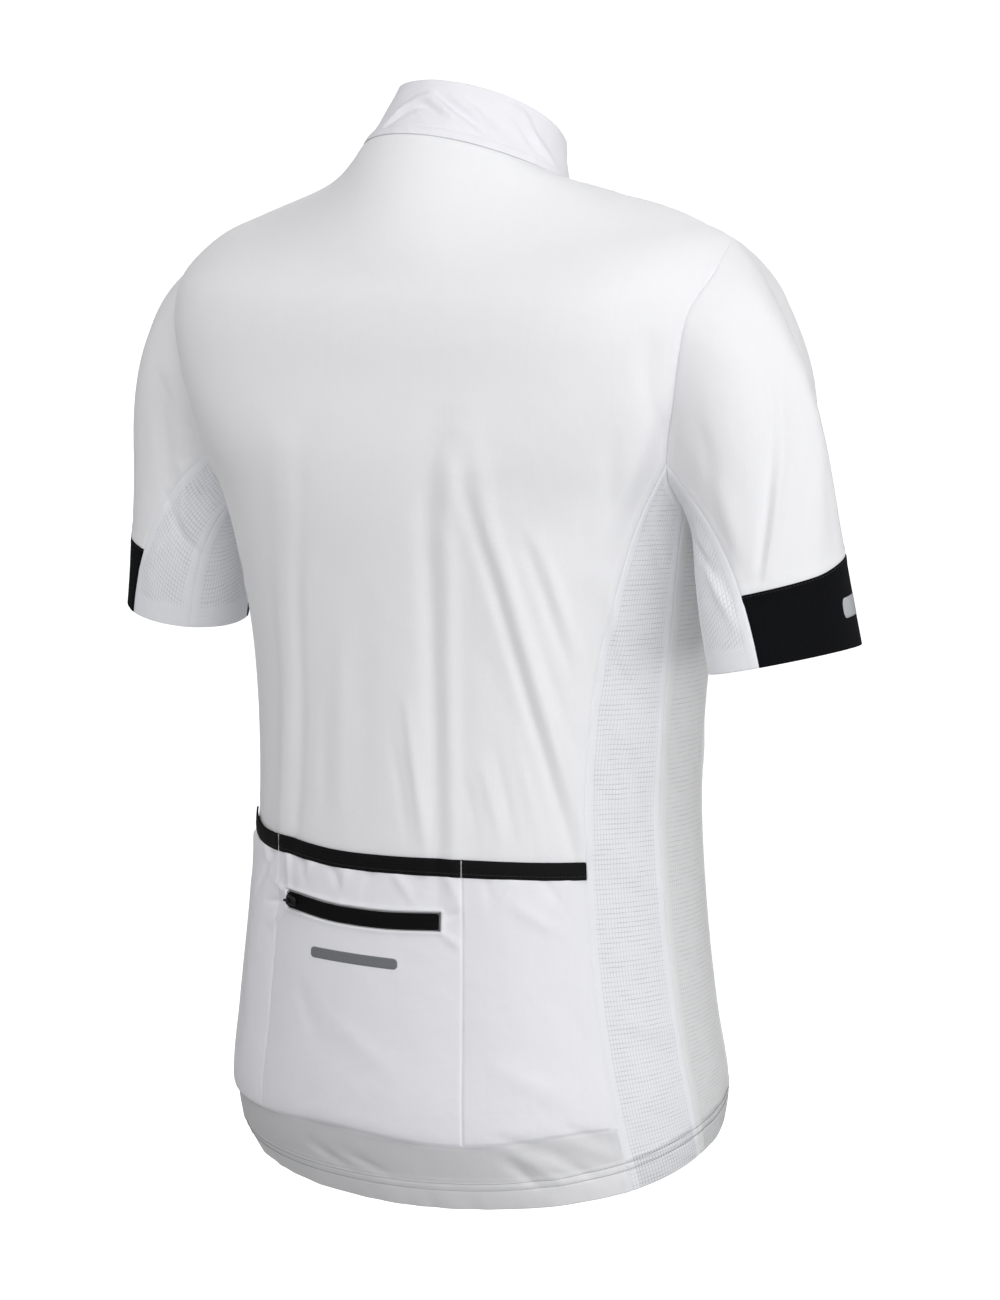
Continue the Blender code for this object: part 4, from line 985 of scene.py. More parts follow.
def speckled(name, colour, light, size, depth, **sockets):
    """A plain hard or printed surface, with a fine grain in its tone and its relief."""
    material, tree, shader = finish(name, **sockets)
    place = node(tree, "ShaderNodeTexCoord").outputs["Object"]
    specks = grain(tree, place, 1.0 / size, 3.0, 0.6)
    painted(tree, shader, ranged(tree, specks, 0.35, 0.7, 0.0, 1.0), colour, light)
    bumped(tree, shader, specks, depth)
    return material


def thread(name, colour, light, roughness=0.6):
    """Sewing thread."""
    return speckled(name, colour, light, 0.5 * MM, 0.08 * MM, Roughness=roughness)


def printed(name, colour, light):
    """A reflective print."""
    return speckled(name, colour, light, 0.35 * MM, 0.03 * MM, Roughness=0.38)


# A look of cloth is a material with the name of its finish slot.
WHITE = (knit("white_knit_cloth", (0.80, 0.80, 0.818), (0.765, 0.765, 0.787)), "white_knit")
COLLAR_WHITE = (knit("collar_knit_cloth", (0.775, 0.77, 0.81), (0.74, 0.735, 0.775)), "white_knit")
pocket_knit = knit("pocket_knit_cloth", (0.79, 0.79, 0.825), (0.755, 0.755, 0.795), slack=0.9 * MM)
POCKET_WHITE = (pocket_knit, "white_knit")
MESH = (mesh_knit("white_mesh_cloth", (0.80, 0.81, 0.84), (0.40, 0.41, 0.44)), "white_mesh")
# the front side panels' mesh is greyer and less blue than the back's, and darker too as painted shade from
# the arms
GREYER_SHADED_SIDE_MESH = (mesh_knit("side_mesh_greyer_painted_shade_cloth", (0.735, 0.738, 0.745), (0.40, 0.405, 0.42)), "white_mesh")
black_knit = knit(
    "black_knit_cloth", (0.0036, 0.0039, 0.0052), (0.0022, 0.0024, 0.0033), 1.2 * MM, 0.9 * MM, 0.10 * MM,
    roughness=0.7, sheen=0.006, specular=0.07,
)
elastic = ribbed(
    "black_elastic_cloth", (0.003, 0.003, 0.0034), (0.010, 0.010, 0.011), 1.1 * MM, 2.4 * MM, 0.15 * MM, 0.6
)
tape = ribbed(
    "zip_tape_cloth", (0.002, 0.002, 0.0024), (0.006, 0.006, 0.0066), 1.3 * MM, 1.0 * MM, 0.12 * MM, 0.6
)
BLACK, ELASTIC, TAPE = (black_knit, "black_knit"), (elastic, "black_elastic"), (tape, "zip_tape")
TEETH = speckled(
    "zip_coil", (0.003, 0.003, 0.0033), (0.009, 0.009, 0.010), 0.6 * MM, 0.03 * MM,
    Roughness=0.55, Specular_IOR_Level=0.2,
)
METAL = speckled(
    "dark_metal_finish", (0.035, 0.035, 0.037), (0.075, 0.075, 0.080), 1.2 * MM, 0.02 * MM,
    Roughness=0.32, Metallic=1.0,
)
THREAD_WHITE = thread("white_thread", (0.74, 0.74, 0.76), (0.82, 0.82, 0.83))
# painted shade: dark dots along the collar's seam stand for the shade in its groove
SEAM_DOTS_PAINTED_SHADE = thread("collar_seam_painted_shade", (0.10, 0.10, 0.11), (0.18, 0.18, 0.20), 0.7)
# painted shade: the hem's rows are dark grey threads that stand for the shade in their stitch holes
HEM_THREAD_PAINTED_SHADE = thread("hem_thread_painted_shade", (0.14, 0.14, 0.15), (0.24, 0.24, 0.26), 0.7)
THREAD_BLACK = thread("black_thread", (0.010, 0.010, 0.012), (0.025, 0.025, 0.028))
# one reflective print in two copies with painted light: darker on the pocket, lighter on the cuff, for the
# light that each bar gets
POCKET_PRINT_SHADED_COPY = printed("reflective_print", (0.150, 0.158, 0.172), (0.185, 0.194, 0.208))
CUFF_PRINT_LIT_COPY = printed("cuff_reflective_print_lit_copy", (0.38, 0.39, 0.41), (0.45, 0.46, 0.48))

ROOT = "garment"


def placed(piece, slot=None, nodes=(), body=ROOT):
    """The piece rides on a body and stands for CAD nodes, which are hidden. The slot is not used."""
    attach(piece, body)
    if nodes:
        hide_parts(*nodes)
    return piece


def cloth_piece(
    node_name, points, normals, smooth_points, uvs, look, thick=CLOTH, values=None, rim=0.35, held="hung",
    rests_on=("back_panel",),
):
    """A sewn piece of cloth. Its smooth form is not used."""
    material, slot = look
    piece = shell(f"{node_name}_cloth", points, normals, material, thick, uvs, values, rim)
    placed(piece, slot, (node_name,))


# ---------------- torso

BACK_SEAM = seam_line("back_angle", armhole(BACK_APEX))
SIDE_SEAM = seam_line("side_angle", armhole(0.0))
FRONT_SEAM = seam_line("front_angle", armhole(FRONT_APEX))
half_back = tall_grid(BACK_SEAM, BACK_APEX, 0.0)
GRIDS = {
    "back_panel": np.concatenate([half_back[:, :0:-1] * (-1, 1), half_back], axis=1),
    "front": tall_grid(FRONT_SEAM, FRONT_APEX, math.pi),
    "side_back": side_grid(BACK_SEAM, SIDE_SEAM, BACK_APEX, 0.0),
    "side_front": side_grid(SIDE_SEAM, FRONT_SEAM, 360.0, FRONT_APEX),
}
white_threads, hem_threads, black_threads = [], [], []


def in_hem(points, higher=0.0):
    """1 where the folded hem doubles the cloth, falling to 0 over a millimetre above it."""
    away, _ = from_edge(points, "bottom")
    return 1 - eased((away - HEM_BAND + higher) / (1 * MM))


def hem_marks(points, normals, degrees):
    """The hem's twin rows dent the cloth, its fold stands out below them and the edge turns in."""
    away, run = from_edge(points, "bottom")
    raised = HEM_STEP * (1 - eased((away - HEM_BAND) / HEM_STEP_EDGE))
    raised = raised - HEM_DENT * sum(bell(away - row, HEM_DENT_WIDE) for row in HEM_ROWS)
    raised = raised + HEM_WAVE * uneven(run * 0.45, 3.0) * (1 - eased(away / HEM_WAVE_HIGH))
    turned_in = np.interp(degrees, *np.array(HEM_TUCK_SHARES, float).T)
    raised = raised - HEM_TUCK * turned_in * np.clip(1 - away / HEM_TUCK_HIGH, 0, 1) ** 2
    return moved(points, normals, raised)


def painted_shade_under_pocket(degrees, up):
    """How much painted shade darkens the back below the pocket; less of it towards the wearer's right, where
    the light falls.
    """
    foot = POCKET_BOTTOM + line_rise("bottom", degrees)
    lighter_at, full_at, least = PAINTED_SHADE_FADE
    share = least + (1 - least) * eased((degrees - lighter_at) / (full_at - lighter_at))
    return share * (1 - eased((up - foot + 1 * MM) / (2 * MM)))


def torso_panel(part, name, side, edges, look, seed, rests_on):
    """Makes a panel with its hem's stitches, and gives its points and normals."""
    angle, up = side * GRIDS[part][..., 0], GRIDS[part][..., 1]
    degrees = np.degrees(angle)
    points, normals = torso_cloth(angle, up)
    smooth_points = torso(angle, up)
    across, _ = runs(smooth_points)
    uvs = pairs(across - across[:, across.shape[1] // 2][:, None], up)
    points, behind = sewn(points, normals, edges, seed)
    points = hem_marks(points, normals, degrees)
    doubled = in_hem(points)
    # painted shade below the pocket, on the back panel only
    painted_shade = painted_shade_under_pocket(degrees, up) if part == "back_panel" else np.zeros_like(up)
    values = {"behind": behind, "doubled": doubled, "painted_shade": painted_shade * (1 - HEM_PAINTED_SHADE_CUT * doubled)}
    thick = CLOTH + HEM_FOLD * in_hem(points, 1 * MM)
    cloth_piece(name, points, normals, smooth_points, uvs, look, thick, values, rests_on=rests_on)
    final = mean_normals(points, normals)
    for row in HEM_ROWS:
        line, line_normals = inset(points, final, "bottom", row)
        line = line + HEM_STITCH_RISE * line_normals
        hem_threads.append(thread_row(line, line_normals, HEM_STITCH_PITCH, HEM_STITCH))
    return points, final


ALL_SEWN = ("left", "right", "top")
PANELS = (
    # grid, sewn edges, look
    ("front", ("right", "top"), WHITE),
    ("side_back", ALL_SEWN, MESH),
    ("side_front", ALL_SEWN, GREYER_SHADED_SIDE_MESH),
)
torso_panel("back_panel", "back_panel", LEFT, ALL_SEWN, WHITE, 0.4, ("front_left", "front_right"))
panels = {}
for side_name, side in SIDES:
    for part, edges, look in PANELS:
        seed = 1.1 + len(panels)
        rests_on = ("back_panel",) if part == "front" else ("back_panel", f"front_{side_name}")
        made = torso_panel(part, f"{part}_{side_name}", side, edges, look, seed, rests_on)
        panels[part, side_name] = made

# ---------------- sleeves

ARM = unit(np.array([math.sin(ARM_OUTWARD), -math.sin(ARM_FORWARD), -math.cos(ARM_OUTWARD)]))
OUTWARD = np.array([1.0, 0.0, 0.0])
SLEEVE_HEM, CUFF_THICK = 15.0 * MM, 1.1 * MM
SLEEVE_HEM_ROW = SLEEVE_HEM - 1.5 * MM
# Lengths that space the grids' lines: round the outer piece, down to the band, down the band, and
# round an under-sleeve piece.
OVER_ROUND, SLEEVE_DOWN, BAND_DOWN, UNDER_ROUND = 0.27, 0.165, 0.050, 0.062
SLEEVE_STEP, BAND_STEP, UNDER_STEP = 2.2 * MM, 2.6 * MM, 2.8 * MM


def cuff_edge(turns):
    """The left cuff's edge at each turn."""
    forward = unit(np.cross(ARM, OUTWARD))
    outward = np.cross(forward, ARM)
    long_way = math.cos(CUFF_LONG_TURN) * outward + math.sin(CUFF_LONG_TURN) * forward
    short_way = np.cross(ARM, long_way)
    heading = np.radians(turns)[:, None] - UNDERARM_TURNED_BACK - math.pi / 2 - CUFF_LONG_TURN
    return CUFF_MIDDLE + CUFF_LONG * np.cos(heading) * long_way + CUFF_SHORT * np.sin(heading) * short_way


def sleeve_lines(turns, side, count=65):
    """Lines down a sleeve from the armhole to the cuff, one for each turn, with the length at each
    of their points. Both sleeves are worked out on the left; the side is 1 for left, -1 for right."""
    place = armhole(turns)
    flip = np.array([side, 1.0, 1.0])
    start, normal = (part * flip for part in torso_cloth(side * place[:, 0], place[:, 1]))
    start = start - SEAM_DIP * normal
    end = cuff_edge(turns)
    down_slope = unit(OUTWARD - (normal @ OUTWARD)[:, None] * normal)
    ways = {"slope": down_slope, "out": OUTWARD, "puff": unit(end - CUFF_MIDDLE), "arm": ARM}
    leaving = unit(sum(armhole_value(name, turns)[:, None] * way for name, way in ways.items()))
    handle = armhole_value("handle", turns)[:, None]
    controls = (start, start + handle * leaving, end - CUFF_HANDLE * ARM, end)
    t = np.linspace(0, 1, count)[None, :, None]
    weights = ((1 - t) ** 3, 3 * t * (1 - t) ** 2, 3 * t * t * (1 - t), t**3)
    lines = sum(weight * control[:, None] for weight, control in zip(weights, controls))
    return lines, run_of(lines, 1)


def bare_sleeve(turns, reach, side):
    """Points at each turn (columns) and each share of the way down (rows), and their lengths."""
    lines, lengths = sleeve_lines(turns, side)
    down = reach * lengths[:, -1]
    columns = [between(at, length, line) for at, length, line in zip(down.T, lengths, lines)]
    return np.stack(columns, axis=1), down


def sleeve_cloth(turns, reach, side):
    """Points, normals, smooth points and lengths down a sleeve, on the left whatever the side."""
    step, stride = 0.5, 0.01
    points, lengths = bare_sleeve(turns, reach, side)
    round_it = bare_sleeve(turns + step, reach, side)[0] - bare_sleeve(turns - step, reach, side)[0]
    lower, upper = np.minimum(reach + stride, 1), np.maximum(reach - stride, 0)
    down = bare_sleeve(turns, lower, side)[0] - bare_sleeve(turns, upper, side)[0]
    normals = unit(np.cross(round_it, down))
    creases = LEFT_SLEEVE_CREASES if side == LEFT else RIGHT_SLEEVE_CREASES
    scale = np.array([math.radians(ARM_RADIUS), ARM_LENGTH])
    raised = fold_height(SLEEVE_FOLDS + creases, pairs(turns, reach), scale)
    raised = raised * eased(reach / SLEEVE_FOLDS_FROM)
    return moved(points, normals, raised), normals, points, lengths


def band_start(turns, side):
    """Where the cuff band starts, as a share of the way down the sleeve."""
    return 1 - smooth(*np.array(BAND_ROWS).T, turns) / sleeve_lines(turns, side)[1][:, -1]


def sleeve_piece(name, named_side, turns, reach, edges, look, thick, seed, doubled=0.0):
    """Makes a piece of a sleeve between turns and shares of the way down, and gives its shape."""
    side_name, side = named_side
    flip = np.array([side, 1.0, 1.0])
    points, normals, smooth_points, lengths = sleeve_cloth(turns, reach, side)
    points, normals, smooth_points = points * flip, normals * flip, smooth_points * flip
    across, _ = runs(smooth_points)
    uvs = pairs(across - across[:, across.shape[1] // 2][:, None], -lengths)
    points, behind = sewn(points, normals, edges, seed + side, pucker=0.8 * PUCKER)
    values = {"behind": np.maximum(behind, SLEEVE_HEM_CLOSED * doubled)}
    cloth_piece(f"{name}_{side_name}", points, normals, smooth_points, uvs, look, thick, values, 0.45)
    return points, mean_normals(points, normals)


def build_sleeve(named_side):
    """The outer piece, its band, and the two pieces under the arm."""
    side = named_side[1]
    over = np.interp(spaced(OVER_ROUND, SLEEVE_STEP), [0, 1], [BACK_APEX, FRONT_APEX])
    start = band_start(over, side)
    reach = spaced(SLEEVE_DOWN, SLEEVE_STEP)[:, None] * start
    edges = ("bottom", "top", "left", "right")
    sleeve_piece("sleeve", named_side, over, reach, edges, WHITE, CLOTH, 5.0)
    reach = start + spaced(BAND_DOWN, BAND_STEP)[:, None] * (1 - start)
    edges = ("bottom", "left", "right")
    cuff = sleeve_piece("cuff", named_side, over, reach, edges, BLACK, CUFF_THICK, 7.0)
    black_threads.append(thread_row(*inset(*cuff, "bottom", EDGE_ROW)))
    pieces = (("undersleeve_back", 0.0, BACK_APEX), ("undersleeve_front", FRONT_APEX, 360.0))
    for name, first, last in pieces:
        turns = np.interp(spaced(UNDER_ROUND, UNDER_STEP), [0, 1], [first, last])
        reach = np.repeat(spaced(SLEEVE_DOWN)[:, None], len(turns), axis=1)
        lengths = sleeve_cloth(turns, reach, side)[3]
        doubled = 1 - eased((lengths[-1:] - lengths - SLEEVE_HEM) / (1 * MM))
        thick = CLOTH + HEM_FOLD * doubled
        made = sleeve_piece(name, named_side, turns, reach, edges, MESH, thick, 9.0, doubled)
        white_threads.append(thread_row(*inset(*made, "top", SLEEVE_HEM_ROW)))


for named_side in SIDES:
    build_sleeve(named_side)

# ---------------- collar

COLLAR_THICK, COLLAR_COLUMNS = 1.1 * MM, 321
COLLAR_LOW_ROWS, COLLAR_STEPS = 9.0 * MM, (0.5 * MM, 1.3 * MM)  # rows up to there, and above it
COLLAR_ROLL, COLLAR_ROLL_TOP = 0.95 * MM, 6.0 * MM  # the seam allowance inside rolls the foot out
COLLAR_DENT, COLLAR_DENT_WIDE = 0.35 * MM, 0.6 * MM  # right above that roll
COLLAR_WAVE, COLLAR_WAVE_HIGH = 0.35 * MM, 14 * MM  # of the top edge
SEAM_DOT, SEAM_DOT_PITCH = capsule(1.2 * MM, 0.65 * MM), 2.1 * MM


def build_collar():
    """The collar, with dark dots of painted shade along its neck seam, which are returned, and a row beside
    each end.
    """
    low = np.arange(0, COLLAR_LOW_ROWS, COLLAR_STEPS[0]) / COLLAR_HIGH
    rows = spaced(COLLAR_HIGH, COLLAR_STEPS[1])
    rows = np.concatenate([low, rows[rows > low[-1] + 0.02]])
    angles = front_edge(rows, COLLAR_RINGS)[:, None] * np.linspace(-1, 1, COLLAR_COLUMNS)
    share = rows[:, None]
    points, normals = collar_cloth(angles, share)
    smooth_points = torso(angles, share, COLLAR_RINGS)
    points = points - SEAM_DIP * np.exp(-9 * rows)[:, None, None] * surface_normal(angles[0], NECK_UP)
    rise, run = from_edge(points, "bottom")
    roll = COLLAR_ROLL * eased(rise / (1.5 * MM)) * (1 - eased((rise - COLLAR_ROLL_TOP) / (1.1 * MM)))
    roll = roll * (1 + 0.3 * uneven(run, 4.0))
    roll -= COLLAR_DENT * bell(rise - COLLAR_ROLL_TOP - 1 * MM, COLLAR_DENT_WIDE)
    top_away, _ = from_edge(points, "top")
    roll += COLLAR_WAVE * uneven(run * 0.35, 1.2) * np.exp(-top_away / COLLAR_WAVE_HIGH)
    points = moved(points, normals, roll)
    final = mean_normals(points, normals)
    uvs = pairs(runs(smooth_points)[0], share * COLLAR_HIGH)
    cloth_piece(
        "collar", points, normals, smooth_points, uvs, COLLAR_WHITE, COLLAR_THICK, rim=0.5, held="stretched",
        rests_on=("back_panel", "front_left", "front_right"),
    )
    for edge in ("left", "right"):
        white_threads.append(thread_row(*inset(points, final, edge, EDGE_ROW)))
    return [thread_row(*inset(points, final, "bottom", 0.4 * MM), SEAM_DOT_PITCH, SEAM_DOT)]


painted_shade_dots = build_collar()

# ---------------- pocket

pocket_threads = []
ZIP_MIDDLE = ((ZIP_LEFT + ZIP_RIGHT) / 2, (ZIP_BOTTOM + ZIP_TOP) / 2)
ZIP_HALF = ((ZIP_LEFT - ZIP_RIGHT) / 2, (ZIP_TOP - ZIP_BOTTOM) / 2)
BACK_RADIUS = 0.128  # of the back at the pocket, to turn its angles into lengths
POCKET_GRID = 2.2 * MM
GATHER_LEAN, GATHER_FROM = 0.6, 3.5 * MM  # how far the gathers slant; they start this far down
LIP, LIP_AT, LIP_WIDE = 0.7 * MM, 1.5 * MM, 1.2 * MM  # the cloth turned in round the zip
LIP_DIP, LIP_DIP_WIDE = 0.9 * MM, 0.7 * MM
# The pocket's height above the panel at its sides and at its foot, and how far it takes to rise.
SIDE_EDGE, SIDE_EDGE_WIDE = 0.25 * MM, 3.5 * MM
FOOT_EDGE, FOOT_EDGE_WIDE = 0.6 * MM, 1.3 * MM


def arc(degrees):
    """A length round the back at the pocket."""
    return np.radians(degrees) * BACK_RADIUS


def pocket_rise(degrees, up, zipped=True):
    """How far the pocket's outer face stands off the back panel."""
    bottom, top = POCKET_BOTTOM + line_rise("bottom", degrees), POCKET_TOP + line_rise("top", degrees)
    above, down = up - bottom, np.clip(top - up, 0, None)
    share = np.clip(above / (top - bottom), 0, 1)
    seam = np.degrees(seam_angle("back_angle", up))
    full = fullness = 0.0
    bounds = (-seam, *DIVIDERS, seam)
    for low, high, out in zip(bounds, bounds[1:], FULLNESS):
        swell = np.sin(np.pi * np.clip((degrees - low) / (high - low), 0, 1))
        full, fullness = full + swell, fullness + out * swell
    rise = POCKET_LIFT + fullness * np.sin(np.pi * share) ** 0.4
    rise = rise + SAG * bell(above - SAG_AT, SAG_WIDE) * (0.55 + 0.45 * full)
    for divider, dip in zip(DIVIDERS, DIVIDER_DIPS):
        rise = rise - dip * bell(arc(degrees - divider), DIVIDER_DIP_WIDE)
    for number, (angle, reach, height) in enumerate(GATHERS):
        off = arc(degrees - angle) - GATHER_LEAN * math.sin(2.4 * number) * down
        rise = rise + height * bell(off, GATHER_WIDE) * bell(down, reach) * eased(down / GATHER_FROM)
    rise = rise + fold_height(POCKET_CREASES, pairs(degrees, up), TORSO_SCALE)
    if zipped:
        x = np.clip(np.abs(arc(degrees - ZIP_MIDDLE[0])) - arc(ZIP_HALF[0]), 0, None)
        y = np.clip(np.abs(up - ZIP_MIDDLE[1] - line_rise("zip", degrees)) - ZIP_HALF[1], 0, None)
        off = np.hypot(x, y)
        rise = rise + LIP * bell(off - LIP_AT, LIP_WIDE) - LIP_DIP * bell(off, LIP_DIP_WIDE)
    to_side, to_foot = np.clip(arc(seam - np.abs(degrees)), 0, None), np.clip(above, 0, None)
    rise = SIDE_EDGE + (rise - SIDE_EDGE) * (1 - bell(to_side, SIDE_EDGE_WIDE))
    return FOOT_EDGE + (rise - FOOT_EDGE) * (1 - bell(to_foot, FOOT_EDGE_WIDE))


def pocket_cloth(degrees, up, zipped=True, extra=0.0):
    """Points and normals of the pocket's outer face, or of what lies on it."""
    degrees, up = np.broadcast_arrays(np.asarray(degrees, float), np.asarray(up, float))
    points, normals = torso_cloth(np.radians(degrees), up)
    rise = pocket_rise(degrees, up, zipped) + extra
    return moved(points, normals, rise), normals


def pocket_grid():
    """(degrees, up) of the pocket's grid, with close lines beside its borders, dividers and zip."""
    levels = np.array([POCKET_BOTTOM, ZIP_BOTTOM, ZIP_TOP, POCKET_TOP])
    along = in_pieces(np.diff(levels), POCKET_GRID, NEAR_LINE)
    seam = np.degrees(seam_angle("back_angle", np.interp(along, range(4), levels)))
    bounds = (-seam, DIVIDERS[0], ZIP_RIGHT, ZIP_LEFT, DIVIDERS[1], seam)
    bounds = np.stack(np.broadcast_arrays(*bounds), axis=1)
    across = in_pieces(arc(np.diff(bounds[0])), POCKET_GRID, NEAR_LINE)
    degrees = np.array([np.interp(across, range(6), row) for row in bounds])
    names = ("bottom", "zip", "zip", "top")
    risen = np.array([level + line_rise(name, degrees) for level, name in zip(levels, names)])
    up = np.array([between(place, range(4), risen[:, row]) for row, place in enumerate(along)])
    return degrees, up


def back_piece(node_name, shape, degrees, up, level, look, **settings):
    """A piece on the back panel. Its threads run along the levels given."""
    smooth_points, uvs = torso(np.radians(degrees), up), pairs(arc(degrees), level)
    cloth_piece(node_name, *shape, smooth_points, uvs, look, **settings)


pocket_degrees, pocket_up = pocket_grid()
shape = pocket_cloth(pocket_degrees, pocket_up)
back_piece("pocket", shape, pocket_degrees, pocket_up, pocket_up, POCKET_WHITE)

# ---------------- elastic trim and the pocket's stitches

TRIM_OUT, TRIM_THICK, TRIM_OVERLAP = 2.3 * MM, 1.2 * MM, 0.8 * MM
TRIM_LONG, TRIM_SHORT_OF_SEAM = 0.270, 0.15  # its length in metres, which spaces the grid; in degrees
TRIM_CROWN, TRIM_DENT, TRIM_DENT_WIDE = 0.25 * MM, 0.5 * MM, 1.2 * MM  # dented where a divider crosses
TOP_ROW, TOP_ROW_PITCH = (-59.0, 58.5, 1.2 * MM), 1.9 * MM  # its first and last angle, and its depth
DIVIDER_STITCH, DIVIDER_PITCH = capsule(1.2 * MM, 0.24 * MM), 2.2 * MM
ZIGZAG, ZIGZAG_STITCH, ZIGZAG_PITCH = np.radians([38.0, -38.0]), capsule(1.7 * MM, 0.40 * MM), 1.0 * MM


def build_trim():
    """The elastic on the pockets' top edge, with its row of stitches."""
    high = TRIM_TOP - POCKET_TOP
    along = spaced(high, 1.6 * MM, (0.0, 0.4, 0.9, 1.6))[:, None]
    up = POCKET_TOP - TRIM_OVERLAP + along * (high + TRIM_OVERLAP)
    seam = np.degrees(seam_angle("back_angle", up)) - TRIM_SHORT_OF_SEAM
    degrees = seam * (2 * spaced(TRIM_LONG, 2.0 * MM) - 1)
    level, up = up, up + line_rise("top", degrees)
    points, normals = torso_cloth(np.radians(degrees), up)
    crown = TRIM_OUT + TRIM_CROWN * np.sin(np.pi * along)
    crown = crown - TRIM_DENT * sum(bell(arc(degrees - divider), TRIM_DENT_WIDE) for divider in DIVIDERS)
    points = moved(points, normals, crown)
    settings = {"thick": TRIM_THICK, "rim": 0.5, "held": "stretched"}
    back_piece("pocket_trim", (points, normals), degrees, up, level, ELASTIC, **settings)
    line = inset(points, mean_normals(points, normals), "bottom", 2.0 * MM)
    black_threads.append(thread_row(*line, pitch=2.1 * MM))


def divider_stitches(divider):
    """A row from the pocket's foot to its top, then a zigzag over the elastic."""
    top = line_rise("top", divider)
    foot, head = POCKET_BOTTOM + line_rise("bottom", divider) + 1.5 * MM, POCKET_TOP + top - 1 * MM
    rise = np.linspace(foot, head, 120)
    row = pocket_cloth(divider, rise, extra=-0.10 * MM)
    pocket_threads.append(thread_row(*row, DIVIDER_PITCH, DIVIDER_STITCH))
    rise = np.linspace(head, TRIM_TOP + top + 3 * MM, 20)
    base, normals = torso_cloth(np.radians(divider), rise)
    over = np.where(rise < TRIM_TOP + top + 0.5 * MM, TRIM_OUT - 0.2 * MM, 0.2 * MM)
    crossing = path_frames(moved(base, normals, over), normals, ZIGZAG_PITCH)
    pocket_threads.append(copies(crossing, ZIGZAG_STITCH, ZIGZAG))


build_trim()
edge_degrees = np.linspace(*TOP_ROW[:2], 400)
edge_up = POCKET_TOP + line_rise("top", edge_degrees) - TOP_ROW[2]
pocket_threads.append(thread_row(*pocket_cloth(edge_degrees, edge_up), TOP_ROW_PITCH))
for divider in DIVIDERS:
    divider_stitches(divider)

# ---------------- pocket zip

TAPE_OUT, TAPE_THICK, TAPE_END = 0.05 * MM, 0.6 * MM, 1.8 * MM
TAPE_GROOVE, TAPE_GROOVE_WIDE = 0.15 * MM, 0.7 * MM  # under the teeth
COIL_THICK, COIL_SLANT = 0.62 * MM, 8.0  # each bar's thickness, and how many degrees it slants
COIL_FROM_ENDS = (0.4, 1.6)  # how many degrees inside the tape's right and left end
COIL_DOWN, COIL_HALF, COIL_PITCH = 0.75 * MM, 0.95 * MM, 1.1 * MM
CORNER, CORNER_RIGHT = 1.4 * MM, 3.6 * MM  # of the row of stitches round the zip
ZIP_ROW_IN, ZIP_STITCH, ZIP_STITCH_PITCH = 0.2 * MM, capsule(0.9 * MM, 0.45 * MM), 1.7 * MM


def build_tape():
    """The pocket zip's tape, rounded off at its left end."""
    along = spaced(ZIP_TOP - ZIP_BOTTOM, 1.0 * MM, (0.0, 0.4, 0.9))[:, None]
    share = spaced(0.100, 1.4 * MM, (0.0, 0.4, 0.9, 1.5))
    degrees = ZIP_RIGHT + share[None] * (ZIP_LEFT - ZIP_RIGHT) + 0 * along
    from_end = np.clip(1 - arc(ZIP_LEFT - degrees) / TAPE_END, 0, 1)
    narrowed = np.sqrt(np.clip(1 - from_end**2, 0.55, 1))
    level = (2 * along - 1) * ZIP_HALF[1] * narrowed
    up = ZIP_MIDDLE[1] + line_rise("zip", degrees) + level
    points, normals = pocket_cloth(degrees, up, zipped=False, extra=TAPE_OUT)
    shape = moved(points, normals, -TAPE_GROOVE * bell(level, TAPE_GROOVE_WIDE)), normals
    settings = {"thick": TAPE_THICK, "rests_on": ("pocket",)}
    back_piece("pocket_zip_tape", shape, degrees, up, level, TAPE, **settings)


def coil(middle_line, normals, half_wide, pitch):
    """A closed zip's coil: short rounded bars that come in turn from either side of a line."""
    bar = capsule(2 * half_wide, COIL_THICK, 6, 0.35)
    made = []
    for row in (0, 1):
        middle, way, side, up = path_frames(middle_line, normals, pitch, start=row * pitch / 2)
        middle = middle + (0.5 - row) * half_wide * side
        made.append(copies((middle, way, side, up), bar, math.radians(90.0 + COIL_SLANT * (row - 0.5))))
    return made


def around_zip(out):
    """(degrees, up) of a line round the pocket's zip, a distance outside its tape."""
    half_x, half_y = arc(ZIP_HALF[0]) + out, ZIP_HALF[1] + out
    line = []
    for number, (sx, sy) in enumerate(((1, 1), (-1, 1), (-1, -1), (1, -1))):
        radius = CORNER if sx < 0 else CORNER_RIGHT
        for turn in math.pi / 2 * (number + np.linspace(0, 1, 5)):
            x, y = sx * (half_x - radius), sy * (half_y - radius)
            line.append((x + radius * math.cos(turn), y + radius * math.sin(turn)))
    line = np.array([*line, line[0]])
    run = run_of(line)
    xs, ys = between(np.linspace(0, run[-1], 400), run, line).T
    degrees = ZIP_MIDDLE[0] + np.degrees(xs / BACK_RADIUS)
    return degrees, ZIP_MIDDLE[1] + line_rise("zip", degrees) + ys


build_tape()
coil_degrees = np.linspace(ZIP_RIGHT + COIL_FROM_ENDS[0], ZIP_LEFT - COIL_FROM_ENDS[1], 160)
coil_up = ZIP_MIDDLE[1] + line_rise("zip", coil_degrees)
coil_line, coil_normals = pocket_cloth(coil_degrees, coil_up, False, TAPE_OUT)
zip_teeth = coil(coil_line - COIL_DOWN * coil_normals, coil_normals, COIL_HALF, COIL_PITCH)
around = pocket_cloth(*around_zip(-ZIP_ROW_IN), zipped=False, extra=0.10 * MM)
pocket_threads.append(thread_row(*around, ZIP_STITCH_PITCH, ZIP_STITCH))

# ---------------- printed bars


